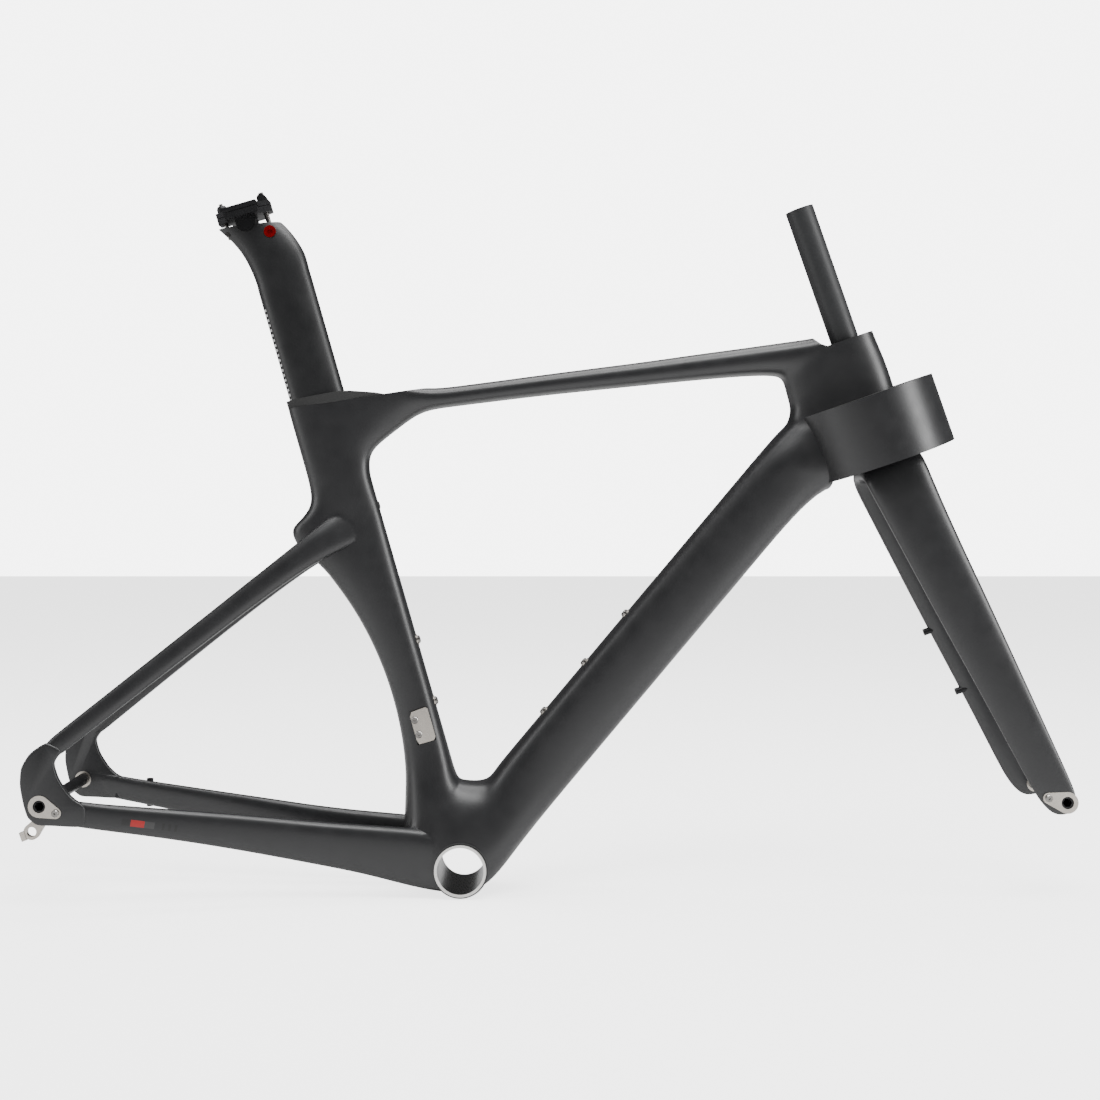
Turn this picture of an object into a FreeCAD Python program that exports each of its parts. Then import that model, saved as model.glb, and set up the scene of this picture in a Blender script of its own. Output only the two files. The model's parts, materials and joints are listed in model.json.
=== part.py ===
import FreeCAD, Part
import math
import os
import Sketcher
from FreeCAD import Placement, Rotation, Vector

# Aero road bicycle frameset: hollow carbon frame, fork and seatpost with their metal hardware.
# Millimetres. The origin is the centre of the bottom bracket, +X points forward, +Y to the
# rider's left and +Z up, so the drive side faces -Y.

doc = FreeCAD.newDocument("frameset")
sheet = doc.addObject("Spreadsheet::Sheet", "size")
dimensions = {
    # frame geometry
    "reach": 386,
    "stack": 526,
    "head_angle": 70.8,
    "head_tube_length": 117,
    "seat_angle": 74,
    "seat_setback": 11.8,
    "seat_tube_length": 487,
    "chainstay_length": 409.1,
    "bracket_drop": 70.5,
    "wheel_clearance": 347,
    # tube sections
    "carbon_wall": 1.7,
    "down_tube_depth": 66.2,
    "down_tube_width": 47,
    "down_tube_meet": 47,
    "top_tube_depth": 21.5,
    "top_tube_flare": 12,
    "top_tube_width": 34,
    "top_tube_low": 15.5,
    "top_tube_drop": 13,
    "seat_tube_width": 32,
    "stay_low": 124,
    "stay_depth": 18.5,
    "stay_width": 13,
    # steering
    "steerer_diameter": 28.6,
    "steerer_base_diameter": 39.6,
    "steerer_wall": 2.4,
    "steerer_relief": 0.3,
    "steerer_length": 140,
    "steerer_socket": 14,
    "crown_gap": 4.5,
    "fork_length": 381.7,
    "fork_rake": 45.5,
    "upper_bearing_diameter": 41.8,
    "upper_bearing_bore": 30.2,
    "lower_bearing_diameter": 52,
    "lower_bearing_bore": 40,
    "bearing_height": 7,
    "bearing_recess": 2.5,
    "ball_diameter": 3.9,
    "ball_count": 20,
    "race_gap": 0.05,
    # wheel axles
    "axle_diameter": 12,
    "axle_bore": 7,
    "axle_fit": 0.06,
    "rear_spacing": 142,
    "rear_plate": 7,
    "front_spacing": 100,
    "front_plate": 6,
    "insert_lift": 1,
    # bottom bracket
    "bracket_bore": 46,
    "bracket_width": 86.5,
    "sleeve_wall": 1.3,
    "sleeve_flange": 51.4,
    "sleeve_flange_depth": 2,
    "shell_diameter": 54.6,
    # seatpost
    "post_depth": 55.4,
    "post_width": 27,
    "post_wall": 2.2,
    "post_fit": 0.3,
    "post_insertion": 110,
    "post_pocket": 190,
    "post_height": 184,
    "post_layback": 21,
    # saddle clamp
    "rail_diameter": 7,
    "rail_spacing": 44,
    "clamp_length": 34,
    "clamp_width": 54,
    "clamp_plate": 6,
    "front_bolt_diameter": 5,
    "rear_bolt_diameter": 4,
    "clamp_bolt_spacing": 42,
    "barrel_nut_diameter": 12,
    "swing_room": 0.8,
    "cradle_radius": 10,
    "pivot_fit": 0.3,
    # fastenings
    "boss_spacing": 64,
    "boss_diameter": 8.6,
    "boss_bore": 4.2,
    "hanger_bore": 9.2,
    "brake_spacing": 34,
    "brake_bore": 5.2,
    "mount_hole": 4.4,
    "mount_pitch": 15,
}
for row, (alias, value) in enumerate(dimensions.items(), 1):
    sheet.set(f"A{row}", alias)
    sheet.set(f"B{row}", str(value))
    sheet.setAlias(f"B{row}", alias)
doc.recompute()


def mm(alias):
    return float(sheet.get(alias))


# ---- reference lines ----

head_tilt = 90 - mm("head_angle")
seat_tilt = 90 - mm("seat_angle")
head_sin = math.sin(math.radians(head_tilt))
head_cos = math.cos(math.radians(head_tilt))
seat_sin = math.sin(math.radians(seat_tilt))
seat_cos = math.cos(math.radians(seat_tilt))
rear_axle_z = mm("bracket_drop")
rear_axle_x = -math.sqrt(mm("chainstay_length") ** 2 - rear_axle_z**2)
upward = Vector(0, 0, 1)
sideways = Vector(0, 1, 0)


def steer_point(down, ahead, y=0.0):
    """down along the steering axis from the top of the head tube, and ahead square to it"""
    x = mm("reach") + down * head_sin + ahead * head_cos
    z = mm("stack") - down * head_cos + ahead * head_sin
    return Vector(x, y, z)


def seat_point(height, ahead, y=0.0):
    """height along the seat tube's axis from the level of the bottom bracket"""
    x = -mm("seat_setback") - height * seat_sin + ahead * seat_cos
    z = height * seat_cos + ahead * seat_sin
    return Vector(x, y, z)


def rear_point(x, z, y=0.0):
    """measured from the rear axle"""
    return Vector(rear_axle_x + x, y, rear_axle_z + z)


def steer_place(down):
    return Placement(steer_point(down, 0), Rotation(sideways, -head_tilt))


def seat_place(height, ahead=0.0, y=0.0):
    return Placement(seat_point(height, ahead, y), Rotation(sideways, -seat_tilt))


def across_place(point):
    """local Z along -Y, local Y along +Z"""
    return Placement(point, Rotation(Vector(1, 0, 0), 90))


def along_place(point, direction):
    return Placement(point, Rotation(upward, direction))


front_axle_down = mm("head_tube_length") + mm("fork_length")
front_axle = steer_point(front_axle_down, mm("fork_rake"))

# ---- document helpers ----

nodes = []


def keep(item, label, place=None):
    """files the item as a sub-part under its label"""
    item.Label = label
    if place is not None:
        item.Placement = place
    nodes.append(item)
    return item


def pin_points(sketch, points):
    """a closed outline whose corners are all tied to the sheet"""
    count = len(points)
    for corner in range(count):
        sketch.addGeometry(Part.LineSegment(Vector(corner, 0, 0), Vector(corner + 1, 1, 0)), False)
    for corner in range(count):
        following = (corner + 1) % count
        sketch.addConstraint(Sketcher.Constraint("Coincident", corner, 2, following, 1))
    for corner, (across, along) in enumerate(points):
        for kind, text in (("DistanceX", across), ("DistanceY", along)):
            number = sketch.addConstraint(Sketcher.Constraint(kind, -1, 1, corner, 1, 1.0))
            name = f"{kind[-1].lower()}_{corner}"
            sketch.renameConstraint(number, name)
            sketch.setExpression(f"Constraints.{name}", str(text))


def pin_circle(sketch, across, along, radius, name):
    shape = sketch.addGeometry(Part.Circle(Vector(0, 0, 0), upward, 1), False)
    parts = (
        ("DistanceX", (-1, 1, shape, 3), across),
        ("DistanceY", (-1, 1, shape, 3), along),
        ("Radius", (shape,), radius),
    )
    for kind, targets, text in parts:
        number = sketch.addConstraint(Sketcher.Constraint(kind, *targets, 1.0))
        label = f"{name}_{kind.lower()}"
        sketch.renameConstraint(number, label)
        sketch.setExpression(f"Constraints.{label}", str(text))


def new_sketch(body, plane):
    sketch = body.newObject("Sketcher::SketchObject", body.Name + "_sketch")
    base = next(item for item in body.Origin.OriginFeatures if item.Role == plane)
    sketch.AttachmentSupport = [(base, "")]
    sketch.MapMode = "FlatFace"
    return sketch


def turned(name, profile):
    """a lathe part: the outline gives radius and height along the part's own Z axis"""
    body = doc.addObject("PartDesign::Body", name)
    sketch = new_sketch(body, "XZ_Plane")
    pin_points(sketch, profile)
    doc.recompute()
    turn = body.newObject("PartDesign::Revolution", name + "_turn")
    turn.Profile = sketch
    turn.ReferenceAxis = (sketch, ["V_Axis"])
    turn.Angle = 360
    body.Tip = turn
    doc.recompute()
    return body


def milled(name, outline, thickness, circles=()):
    """a plate drawn on its own XY plane and padded upward, with round holes through it"""
    body = doc.addObject("PartDesign::Body", name)
    sketch = new_sketch(body, "XY_Plane")
    pin_points(sketch, outline)
    for number, (across, along, radius) in enumerate(circles):
        pin_circle(sketch, across, along, radius, f"hole_{number}")
    doc.recompute()
    pad = body.newObject("PartDesign::Pad", name + "_pad")
    pad.Profile = sketch
    pad.setExpression("Length", str(thickness))
    body.Tip = pad
    doc.recompute()
    return body


def tube_profile(outer, inner, low, high):
    return [(inner, low), (outer, low), (outer, high), (inner, high)]


def ring(name, outer, inner, low, high):
    return turned(name, tube_profile(outer, inner, low, high))


def combined(kind, name, base, tool):
    item = doc.addObject(kind, name)
    item.Base = base
    item.Tool = tool
    doc.recompute()
    return item


def with_socket(item, name, width, depth, top):
    """sinks a hexagon socket into the end at height top"""
    prism = doc.addObject("Part::Prism", name + "_socket")
    prism.Polygon = 6
    prism.setExpression("Circumradius", f"({width}) / 1.732")
    prism.setExpression("Height", str(depth))
    prism.setExpression("Placement.Base.z", f"({top}) - ({depth})")
    return combined("Part::Cut", name, item, prism)


def group(name, items):
    whole = doc.addObject("Part::Compound", name)
    whole.Links = items
    doc.recompute()
    return whole


# ---- carbon mouldings ----


def loop(edge_a, edge_b, middle, width, inset=0.0, power=2.4, points=24):
    """one closed oval section between two edge points of the side view"""
    centre = (edge_a + edge_b) / 2
    direction = edge_a - edge_b
    depth_radius = direction.Length / 2 - inset
    width_radius = width / 2 - inset
    direction.normalize()
    ring_points = []
    for step in range(points):
        angle = 2 * math.pi * step / points
        reach = math.copysign(abs(math.cos(angle)) ** (2 / power), math.cos(angle))
        spread = math.copysign(abs(math.sin(angle)) ** (2 / power), math.sin(angle))
        place = centre + direction * (reach * depth_radius)
        place.y = middle + spread * width_radius
        ring_points.append(place)
    curve = Part.BSplineCurve()
    curve.interpolate(Points=ring_points, PeriodicFlag=True)
    return Part.Wire([curve.toShape()])


def loft(stations, inset=0.0):
    """stations: (edge point, edge point, sideways middle, width)"""
    wires = [loop(*station, inset=inset) for station in stations]
    return Part.makeLoft(wires, True, False, False, 3)


def moulded(label, shape):
    item = doc.addObject("Part::Feature", label)
    item.Shape = shape
    item.Placement = Placement()
    return keep(item, label)


def mirrored(shape):
    return shape.mirror(Vector(0, 0, 0), sideways)


def drum(radius, length, middle, direction=sideways):
    """a solid cylinder centred on a point, used for holes"""
    return Part.makeCylinder(radius, length, middle - direction * (length / 2), direction)


wall = mm("carbon_wall")
head_length = mm("head_tube_length")
shell_radius = mm("shell_diameter") / 2
bracket_width = mm("bracket_width")

# Head tube: (down, front, rear, width), fuller behind where the top and down tubes run in.
head_rows = (
    (0.0, 27.0, -38.0, 48.0),
    (0.21, 30.8, -60.0, 48.0),
    (0.41, 30.6, -76.0, 49.0),
    (0.62, 29.6, -70.0, 52.0),
    (0.81, 28.6, -52.0, 56.0),
    (1.0, 28.0, -34.0, 58.0),
)


def head_stations(first, last):
    rows = []
    for share, front, rear, width in head_rows[first:last]:
        down = share * head_length
        rows.append((steer_point(down, front), steer_point(down, rear), 0, width))
    return rows


head_solid = loft(head_stations(0, 6))

# Seat tube: the front edge runs parallel to the seatpost, and the back follows the wheel.
seat_front = mm("post_depth") / 2 + mm("post_fit") + wall
seat_rear = -(mm("post_depth") / 2 + mm("post_fit") + 2 * wall)
seat_length = mm("seat_tube_length")


def wheel_edge(height):
    """how far behind the seat tube's axis the wheel's clearance circle lies"""
    origin = seat_point(height, 0)
    gap_x = origin.x - rear_axle_x
    gap_z = origin.z - rear_axle_z
    half = gap_x * seat_cos + gap_z * seat_sin
    square = half**2 - (gap_x**2 + gap_z**2 - mm("wheel_clearance") ** 2)
    return -half + math.sqrt(square)


seat_width = mm("seat_tube_width")
seat_rows = (
    (26, 44, None, seat_width + 40),
    (52, 50, None, seat_width + 26),
    (76, 44, None, seat_width + 14),
    (90, 33, None, seat_width + 8),
    (112, seat_front, None, seat_width + 4),
    (170, seat_front, None, seat_width),
    (240, seat_front, None, seat_width),
    (300, seat_front, None, seat_width),
    (seat_length - 145, seat_front, -40, seat_width),
    (seat_length - 105, seat_front, seat_rear, seat_width),
    (seat_length - 82, seat_front, seat_rear, seat_width),
    (seat_length - 66, 38, seat_rear, seat_width),
    (seat_length - 52, 58, seat_rear, seat_width),
    (seat_length - 34, 64, seat_rear, seat_width),
    (seat_length - 16, 58, seat_rear, seat_width),
    (seat_length, 50, seat_rear, seat_width),
)
seat_stations = []
for height, ahead, behind, width in seat_rows:
    if behind is None:
        behind = wheel_edge(height)
    seat_stations.append((seat_point(height, ahead), seat_point(height, behind), 0, width))
seat_solid = loft(seat_stations)

# Down tube, straight from the bottom bracket to the middle of the head tube.
down_start = Vector(0, 0, 2.6)
down_end = steer_point(mm("down_tube_meet"), 0)
down_axis = (down_end - down_start).normalize()
down_side = Vector(-down_axis.z, 0, down_axis.x)
down_run = (down_end - down_start).Length
down_rows = (
    (8, 66),
    (60, 54),
    (130, mm("down_tube_width")),
    (down_run - 260, mm("down_tube_width")),
    (down_run - 130, mm("down_tube_width")),
    (down_run - 4, mm("down_tube_width")),
)
down_stations = []
for along, width in down_rows:
    middle = down_start + down_axis * along
    offset = down_side * (mm("down_tube_depth") / 2)
    down_stations.append((middle + offset, middle - offset, 0, width))
down_solid = loft(down_stations)

# Top tube, deeper towards the head.
top_start = seat_point(seat_length - mm("top_tube_low"), 0)
top_end = steer_point(mm("top_tube_drop"), 0)
top_axis = (top_end - top_start).normalize()
top_side = Vector(-top_axis.z, 0, top_axis.x)
top_run = (top_end - top_start).Length
top_rows = ((0.02, 0.0, 0), (0.3, 0.0, 0), (0.5, 0.1, 0), (0.75, 0.45, 4), (0.98, 1.0, 12))
top_stations = []
for share, flare, extra in top_rows:
    middle = top_start + top_axis * (top_run * share)
    offset = top_side * ((mm("top_tube_depth") + flare * mm("top_tube_flare")) / 2)
    width = mm("top_tube_width") + extra
    top_stations.append((middle + offset, middle - offset, 0, width))
top_solid = loft(top_stations)

shell_width = bracket_width - 2 * mm("sleeve_flange_depth")
shell_solid = drum(shell_radius, shell_width, Vector(0, 0, 0))

# The fork's crown turns under the frame, so the frame ends in a surface turned about the
# steering axis there. The figures are radius and distance below the head tube's end.
sweep_profile = ((0, 0.5), (20, 0.5), (44, 10), (66, 10), (66, 60), (0, 60))
sweep_points = []
for radius, below in sweep_profile:
    sweep_points.append(steer_point(head_length + below, radius))
sweep_face = Part.Face(Part.makePolygon([*sweep_points, sweep_points[0]]))
steer_axis = steer_point(1, 0) - steer_point(0, 0)
crown_sweep = sweep_face.revolve(steer_point(0, 0), steer_axis, 360)


def steer_drum(radius, low, high):
    """a solid cylinder on the steering axis between two distances down it"""
    return Part.makeCylinder(radius, high - low, steer_point(low, 0), steer_axis)


upper_seat = mm("upper_bearing_diameter") / 2
lower_seat = mm("lower_bearing_diameter") / 2
seat_depth = mm("bearing_recess") + mm("bearing_height")
head_cavity = loft(head_stations(1, 5), inset=wall + 0.6)
head_shape = head_solid.cut(head_cavity)
head_shape = head_shape.cut(steer_drum(upper_seat, -1, seat_depth))
head_shape = head_shape.cut(steer_drum(upper_seat - 2.5, 0, head_length / 2))
head_shape = head_shape.cut(steer_drum(lower_seat, head_length - seat_depth, head_length + 1))
head_shape = head_shape.cut(steer_drum(lower_seat - 3, head_length / 2, head_length))
moulded("head_tube", head_shape)

# The post's pocket in the seat tube, with its clearance.
post_depth = mm("post_depth")
post_width = mm("post_width")
post_fit = mm("post_fit")
post_bottom = seat_length - mm("post_insertion")


def post_station(height, extra):
    half = post_depth / 2 + extra
    return (seat_point(height, half), seat_point(height, -half), 0, post_width + 2 * extra)


pocket_bottom = seat_length - mm("post_pocket")
pocket_heights = (pocket_bottom, pocket_bottom + 60, seat_length - 60, seat_length + 5)
post_pocket = loft([post_station(height, post_fit) for height in pocket_heights])
lower_cavity = loft(seat_stations[1:8], inset=wall + 0.5)
seat_shape = seat_solid.cut(lower_cavity).cut(post_pocket).cut(shell_solid)

# Bottle bosses: a pair on the seat tube's front and three down the down tube's upper side.
boss_flat = 0.5
boss_seats = []
for number in range(2):
    height = 160.7 + number * mm("boss_spacing")
    seat = seat_point(height, seat_front - boss_flat)
    boss_seats.append((seat, seat_point(0, 1) - seat_point(0, 0)))
for number in range(3):
    along = 167.5 + number * mm("boss_spacing")
    middle = down_start + down_axis * along
    seat = middle + down_side * (mm("down_tube_depth") / 2 - boss_flat)
    boss_seats.append((seat, down_side))
boss_radius = mm("boss_diameter") / 2
boss_depth = 12
boss_flange = boss_radius + 1.2


def boss_space(point, direction):
    """the room a boss takes up: its body's hole and a flat for its flange"""
    flat = Part.makeCylinder(boss_flange, 4, point, direction)
    return drum(boss_radius, 2 * boss_depth, point, direction).fuse(flat)


for point, direction in boss_seats[:2]:
    seat_shape = seat_shape.cut(boss_space(point, direction))

# Front derailleur mount on the drive side of the seat tube: a plate let into a solid pad.
mount_height = 141.8
mount_screws_ahead = 6.7
mount_middle_ahead = 12.5
mount_length = 34
mount_breadth = 19
mount_thick = 3.4
mount_outer = -(seat_width / 2 + 2.5)
mount_inner = mount_outer + mount_thick
mount_screw_depth = 8


def mount_block(inner, outer, margin):
    """a block around the plate between two distances to the side"""
    long_side = mount_length + 2 * margin
    broad_side = mount_breadth + 2 * margin
    corner = Vector(-broad_side / 2, outer, -long_side / 2)
    block = Part.makeBox(broad_side, inner - outer, long_side, corner)
    block.Placement = seat_place(mount_height, mount_middle_ahead)
    return block


seat_shape = seat_shape.fuse(mount_block(mount_inner + mount_screw_depth, mount_outer, 1.5))
seat_shape = seat_shape.cut(mount_block(mount_inner, mount_outer - 5, 0.1))
mount_screw_places = []
for number in (-1, 1):
    height = mount_height + number * mm("mount_pitch") / 2
    mount_screw_places.append(seat_point(height, mount_screws_ahead, mount_outer))
for place in mount_screw_places:
    seat_shape = seat_shape.cut(drum(mm("mount_hole") / 2, 2 * mount_screw_depth + 6, place))

# Seat collar: the frame's top is cut along the underside of a rubber cover.
collar_under = ((-36, 484.8), (15, 477.2), (41, 474.7), (68, 471))
collar_top = ((58, 475.5), (34, 484), (20, 486.8), (-13.5, 490.3), (-31.7, 491.5), (-31.7, 484.2))


def seat_prism(outline, half_width):
    """a slab with a side view outline of (ahead, height) points in the seat tube's frame"""
    corners = []
    for ahead, height in outline:
        corners.append(seat_point(height - 487 + seat_length, ahead, -half_width))
    face = Part.Face(Part.makePolygon([*corners, corners[0]]))
    return face.extrude(sideways * (2 * half_width))


above_collar = seat_prism((*collar_under, (90, 478), (90, 540), (-60, 540), (-60, 488.2)), 40)
seat_shape = seat_shape.cut(above_collar)

# Seat clamp: a wedge and its bolt in a pocket ahead of the post.
wedge_ahead = mm("post_depth") / 2 + post_fit + 8.2
wedge_width = 18
wedge_low = seat_length - 37
wedge_high = seat_length - 18
wedge_fit = 0.15
clamp_bolt = 5.9
pocket_height = wedge_high + 12 - wedge_low
wedge_pocket = Part.makeBox(16.4, wedge_width, pocket_height, Vector(-8.2, -wedge_width / 2, 0))
wedge_pocket.Placement = seat_place(wedge_low, wedge_ahead)
seat_axis = seat_point(1, 0) - seat_point(0, 0)
seat_shape = seat_shape.cut(wedge_pocket)
seat_shape = seat_shape.cut(drum(clamp_bolt / 2, 40, seat_point(wedge_low, wedge_ahead), seat_axis))

# Cable grommet low on the drive side and a port plug on the front.
grommet_place = seat_point(67, -17, -(seat_width / 2 + 3))
grommet_radius = 4
plug_height = seat_length - 121
plug_radius = 4
seat_shape = seat_shape.cut(drum(grommet_radius, 14, grommet_place))
ahead_axis = seat_point(0, 1) - seat_point(0, 0)
plug_place = seat_point(plug_height, seat_front)
seat_shape = seat_shape.cut(drum(plug_radius, 14, plug_place, ahead_axis))

# Seatstay yoke: the tail that stands behind the seat tube over the wheel.
yoke_rows = (
    (seat_length - 98, -20, -33),
    (seat_length - 108, -20, -46),
    (seat_length - 119, -20, -60),
    (seat_length - 134, -20, -60),
    (seat_length - 160, -20, -45),
)
yoke_stations = []
for height, ahead, behind in yoke_rows:
    yoke_stations.append((seat_point(height, ahead), seat_point(height, behind), 0, 27))
yoke_solid = loft(yoke_stations).cut(seat_solid)

# Seatstay, drive side: from the yoke down to the dropout.
rear_outer = mm("rear_spacing") / 2 + mm("rear_plate")
rear_middle = mm("rear_spacing") / 2 + mm("rear_plate") / 2
stay_top = seat_point(seat_length - mm("stay_low"), 0)
stay_foot = rear_point(8, 53)
stay_axis = (stay_foot - stay_top).normalize()
stay_side = Vector(-stay_axis.z, 0, stay_axis.x)
stay_run = (stay_foot - stay_top).Length
stay_rows = (
    (0.02, 15, 4, 12),
    (0.13, 23, 4, 13),
    (0.3, 30, 2, mm("stay_width")),
    (0.5, 42, 0, mm("stay_width")),
    (0.78, 62, 0, mm("stay_width")),
    (1.0, rear_middle, 2, mm("rear_plate") + 1),
)
stay_stations = []
for share, spread, extra, width in stay_rows:
    middle = stay_top + stay_axis * (stay_run * share)
    offset = stay_side * ((mm("stay_depth") + extra) / 2)
    stay_stations.append((middle - offset, middle + offset, -spread, width))
stay_solid = loft(stay_stations)

# Chainstay, drive side: shares of the way to the rear axle, the two edges' heights
# above the line between the axles' centres, the sideways middle and the width.
chain_rows = (
    (0.05, 41.0, -27.0, 33.0, 20.0),
    (0.15, 31.0, -25.5, 34.0, 18.0),
    (0.345, 23.5, -19.5, 40.0, 16.0),
    (0.535, 19.6, -16.0, 50.0, 14.0),
    (0.725, 14.6, -14.6, 62.0, 13.0),
    (0.87, 10.7, -15.2, 71.0, 13.0),
)
chain_stations = []
for share, above, below, spread, width in chain_rows:
    level = Vector(rear_axle_x * share, 0, rear_axle_z * share)
    chain_stations.append((level + upward * above, level + upward * below, -spread, width))
chain_solid = loft(chain_stations)

# Dropout plate, drive side, with a deeper block where the chainstay runs in.
dropout_outline = (
    (4, 60),
    (-12, 49),
    (-18.5, 36),
    (-19, 20),
    (-13, -8),
    (-3, -18),
    (16, -18),
    (54, -25),
    (54, 2),
    (36, 5),
    (18, 25),
    (13, 42),
    (19, 51),
)
dropout_plate = milled("dropout_plate", dropout_outline, "size.rear_plate")
dropout_block = doc.addObject("Part::Box", "dropout_block")
dropout_block.Length = 32
dropout_block.Width = 20
dropout_block.setExpression("Height", "size.rear_plate + 6")
dropout_block.Placement = Placement(Vector(22, -18, -6), Rotation())
dropout_item = combined("Part::Fuse", "dropout_fuse", dropout_plate, dropout_block)
dropout_item.Placement = across_place(rear_point(0, 0, -mm("rear_spacing") / 2))
doc.recompute()
dropout_solid = dropout_item.Shape.copy()
if len(dropout_solid.Solids) == 1:
    dropout_solid = dropout_solid.Solids[0]

# Hollows of the stays.
chain_hollow = loft(chain_stations, inset=wall)
stay_hollow = loft(stay_stations, inset=wall)

# Rear axle hardware: a threaded insert with its screw and the derailleur hanger on the drive
# side, a plain bush on the other.
axle_radius = mm("axle_diameter") / 2
axle_hole = axle_radius + 2.5
screw_radius = 2.1
insert_screw = (15.7, -6.3)
front_insert_screw = (-18.5, 4.5)
insert_face = 2.6
axle_gap = 0.12


def hull_plate(name, big, small, across, along, thickness):
    """two rounds and the tangent block between them, padded upward from z = 0"""
    pitch = math.hypot(across, along)
    lean = math.asin((big - small) / pitch)
    heading = math.atan2(along, across)
    corners = []
    for radius, x, y, turn in (
        (big, 0, 0, math.pi / 2 - lean),
        (small, across, along, math.pi / 2 - lean),
        (small, across, along, lean - math.pi / 2),
        (big, 0, 0, lean - math.pi / 2),
    ):
        corners.append(
            (
                round(x + radius * math.cos(heading + turn), 4),
                round(y + radius * math.sin(heading + turn), 4),
            )
        )
    block = milled(name + "_block", corners, thickness)
    rounds = []
    for part, radius, x, y in (("big", big, 0, 0), ("small", small, across, along)):
        round_end = doc.addObject("Part::Cylinder", f"{name}_{part}")
        round_end.Radius = radius
        round_end.setExpression("Height", str(thickness))
        round_end.Placement.Base = Vector(x, y, 0)
        rounds.append(round_end)
    whole = doc.addObject("Part::MultiFuse", name)
    whole.Shapes = [block, *rounds]
    doc.recompute()
    return whole


def bored(item, name, holes):
    """cuts round holes along Z: (across, along, radius expression, low, high)"""
    for number, (across, along, radius, low, high) in enumerate(holes):
        hole = doc.addObject("Part::Cylinder", f"{name}_hole_{number}")
        hole.setExpression("Radius", str(radius))
        hole.setExpression("Height", f"({high}) - ({low})")
        hole.Placement.Base = Vector(across, along, 0)
        hole.setExpression("Placement.Base.z", str(low))
        item = combined("Part::Cut", f"{name}_{number}", item, hole)
    return item


def axle_insert(name, screw, plate):
    """a teardrop plate with a threaded sleeve through the dropout, from its inner face"""
    reach = f"size.{plate} + size.insert_lift"
    face = hull_plate(name + "_face", 10.6, 5.4, *screw, insert_face)
    face.setExpression("Placement.Base.z", f"{reach} - {insert_face}")
    sleeve = doc.addObject("Part::Cylinder", name + "_sleeve")
    sleeve.setExpression("Radius", "size.axle_diameter / 2 + 2.5")
    sleeve.setExpression("Height", reach)
    both = combined("Part::Fuse", name + "_both", face, sleeve)
    holes = (
        (0, 0, "size.axle_diameter / 2 + size.axle_fit", -1, reach + " + 1"),
        (*screw, screw_radius, -1, reach + " + 1"),
    )
    return both, bored(both, name, holes)


def filled(item, place):
    """the piece's outer shape without its holes, at its place, for cutting its seat"""
    doc.recompute()
    shape = item.Shape.copy()
    shape.Placement = place.multiply(shape.Placement)
    return shape


rear_face_place = across_place(rear_point(0, 0, -mm("rear_spacing") / 2))
insert_blank, insert_item = axle_insert("rear_insert", insert_screw, "rear_plate")
keep(insert_item, "rear_axle_insert", rear_face_place)
insert_seat = filled(insert_blank, rear_face_place)

screw_head = 3.6
screw_profile = (
    (0, -7),
    (1.6, -7),
    (screw_radius, -6.4),
    (screw_radius, 0),
    (screw_head, 0),
    (screw_head, 1.3),
    (screw_head - 0.8, 2),
    (0, 2),
)


def small_screw(name):
    return with_socket(turned(name, screw_profile), name + "_head", 2.2, 1.4, 2)


lift = mm("insert_lift")
keep(
    small_screw("rear_screw"),
    "rear_insert_screw",
    across_place(rear_point(*insert_screw, -rear_outer - lift)),
)

hanger_neck = (9, 10.7)
hanger_ring = (-8, -24.7)
hanger_depth = f"size.rear_plate - {insert_face - lift + 0.2}"
hanger_face = hull_plate("hanger_face", 7.8, 5.5, *hanger_neck, hanger_depth)
hanger_tab = doc.addObject("Part::Box", "hanger_tab")
hanger_tab.Length = 5
hanger_tab.Width = 9
hanger_tab.setExpression("Height", "size.rear_plate - 1")
hanger_tab.Placement = Placement(Vector(-9, -9.5, 0), Rotation(upward, 20))
hanger_whole = combined("Part::Fuse", "hanger_whole", hanger_face, hanger_tab)
hanger_cut = bored(hanger_whole, "hanger", ((0, 0, "size.hanger_bore / 2", -1, "size.rear_plate + 1"),))
hanger_place = across_place(rear_point(*hanger_ring, -mm("rear_spacing") / 2))
hanger_item = keep(hanger_cut, "derailleur_hanger", hanger_place)
doc.recompute()

bush_profile = tube_profile(
    "size.axle_diameter / 2 + 2.5",
    "size.axle_diameter / 2 + size.axle_fit",
    0,
    "size.rear_plate",
)
keep(turned("rear_bush", bush_profile), "rear_axle_bush", across_place(rear_point(0, 0, rear_outer)))

# Flat mount inserts stand upright in the left chainstay.
brake_first = 36.5


def rear_side(label_side, flip):
    """dropout, chainstay and seatstay of one side"""
    holes = [drum(axle_hole, 60, rear_point(0, 0, -rear_middle))]
    if not flip:
        holes.append(drum(screw_radius, 30, rear_point(*insert_screw, -rear_outer)))
        holes.append(hanger_item.Shape)
    dropout = dropout_solid.copy()
    if not flip:
        holes.append(insert_seat)
    for hole in holes:
        dropout = dropout.cut(hole)
    chain = chain_solid.cut(chain_hollow).cut(dropout_solid)
    chain = chain.cut(drum(shell_radius, bracket_width + 10, Vector(0, 0, 0)))
    chain = chain.cut(seat_solid).cut(down_solid)
    stay = stay_solid.cut(stay_hollow).cut(dropout_solid).cut(seat_solid).cut(yoke_solid)
    if flip:
        dropout, chain, stay = mirrored(dropout), mirrored(chain), mirrored(stay)
        for number in range(2):
            x = brake_first + number * mm("brake_spacing")
            sleeve = drum(brake_outer, 90, rear_point(x, 0, brake_side), upward)
            dropout = dropout.cut(sleeve)
            chain = chain.cut(sleeve)
    moulded("dropout_" + label_side, biggest(dropout))
    moulded("chainstay_" + label_side, biggest(chain))
    moulded("seatstay_" + label_side, biggest(stay))


def biggest(shape):
    """the main solid, without the slivers that a mitre leaves inside a neighbour"""
    return max(shape.Solids, key=lambda solid: solid.Volume)


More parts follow.
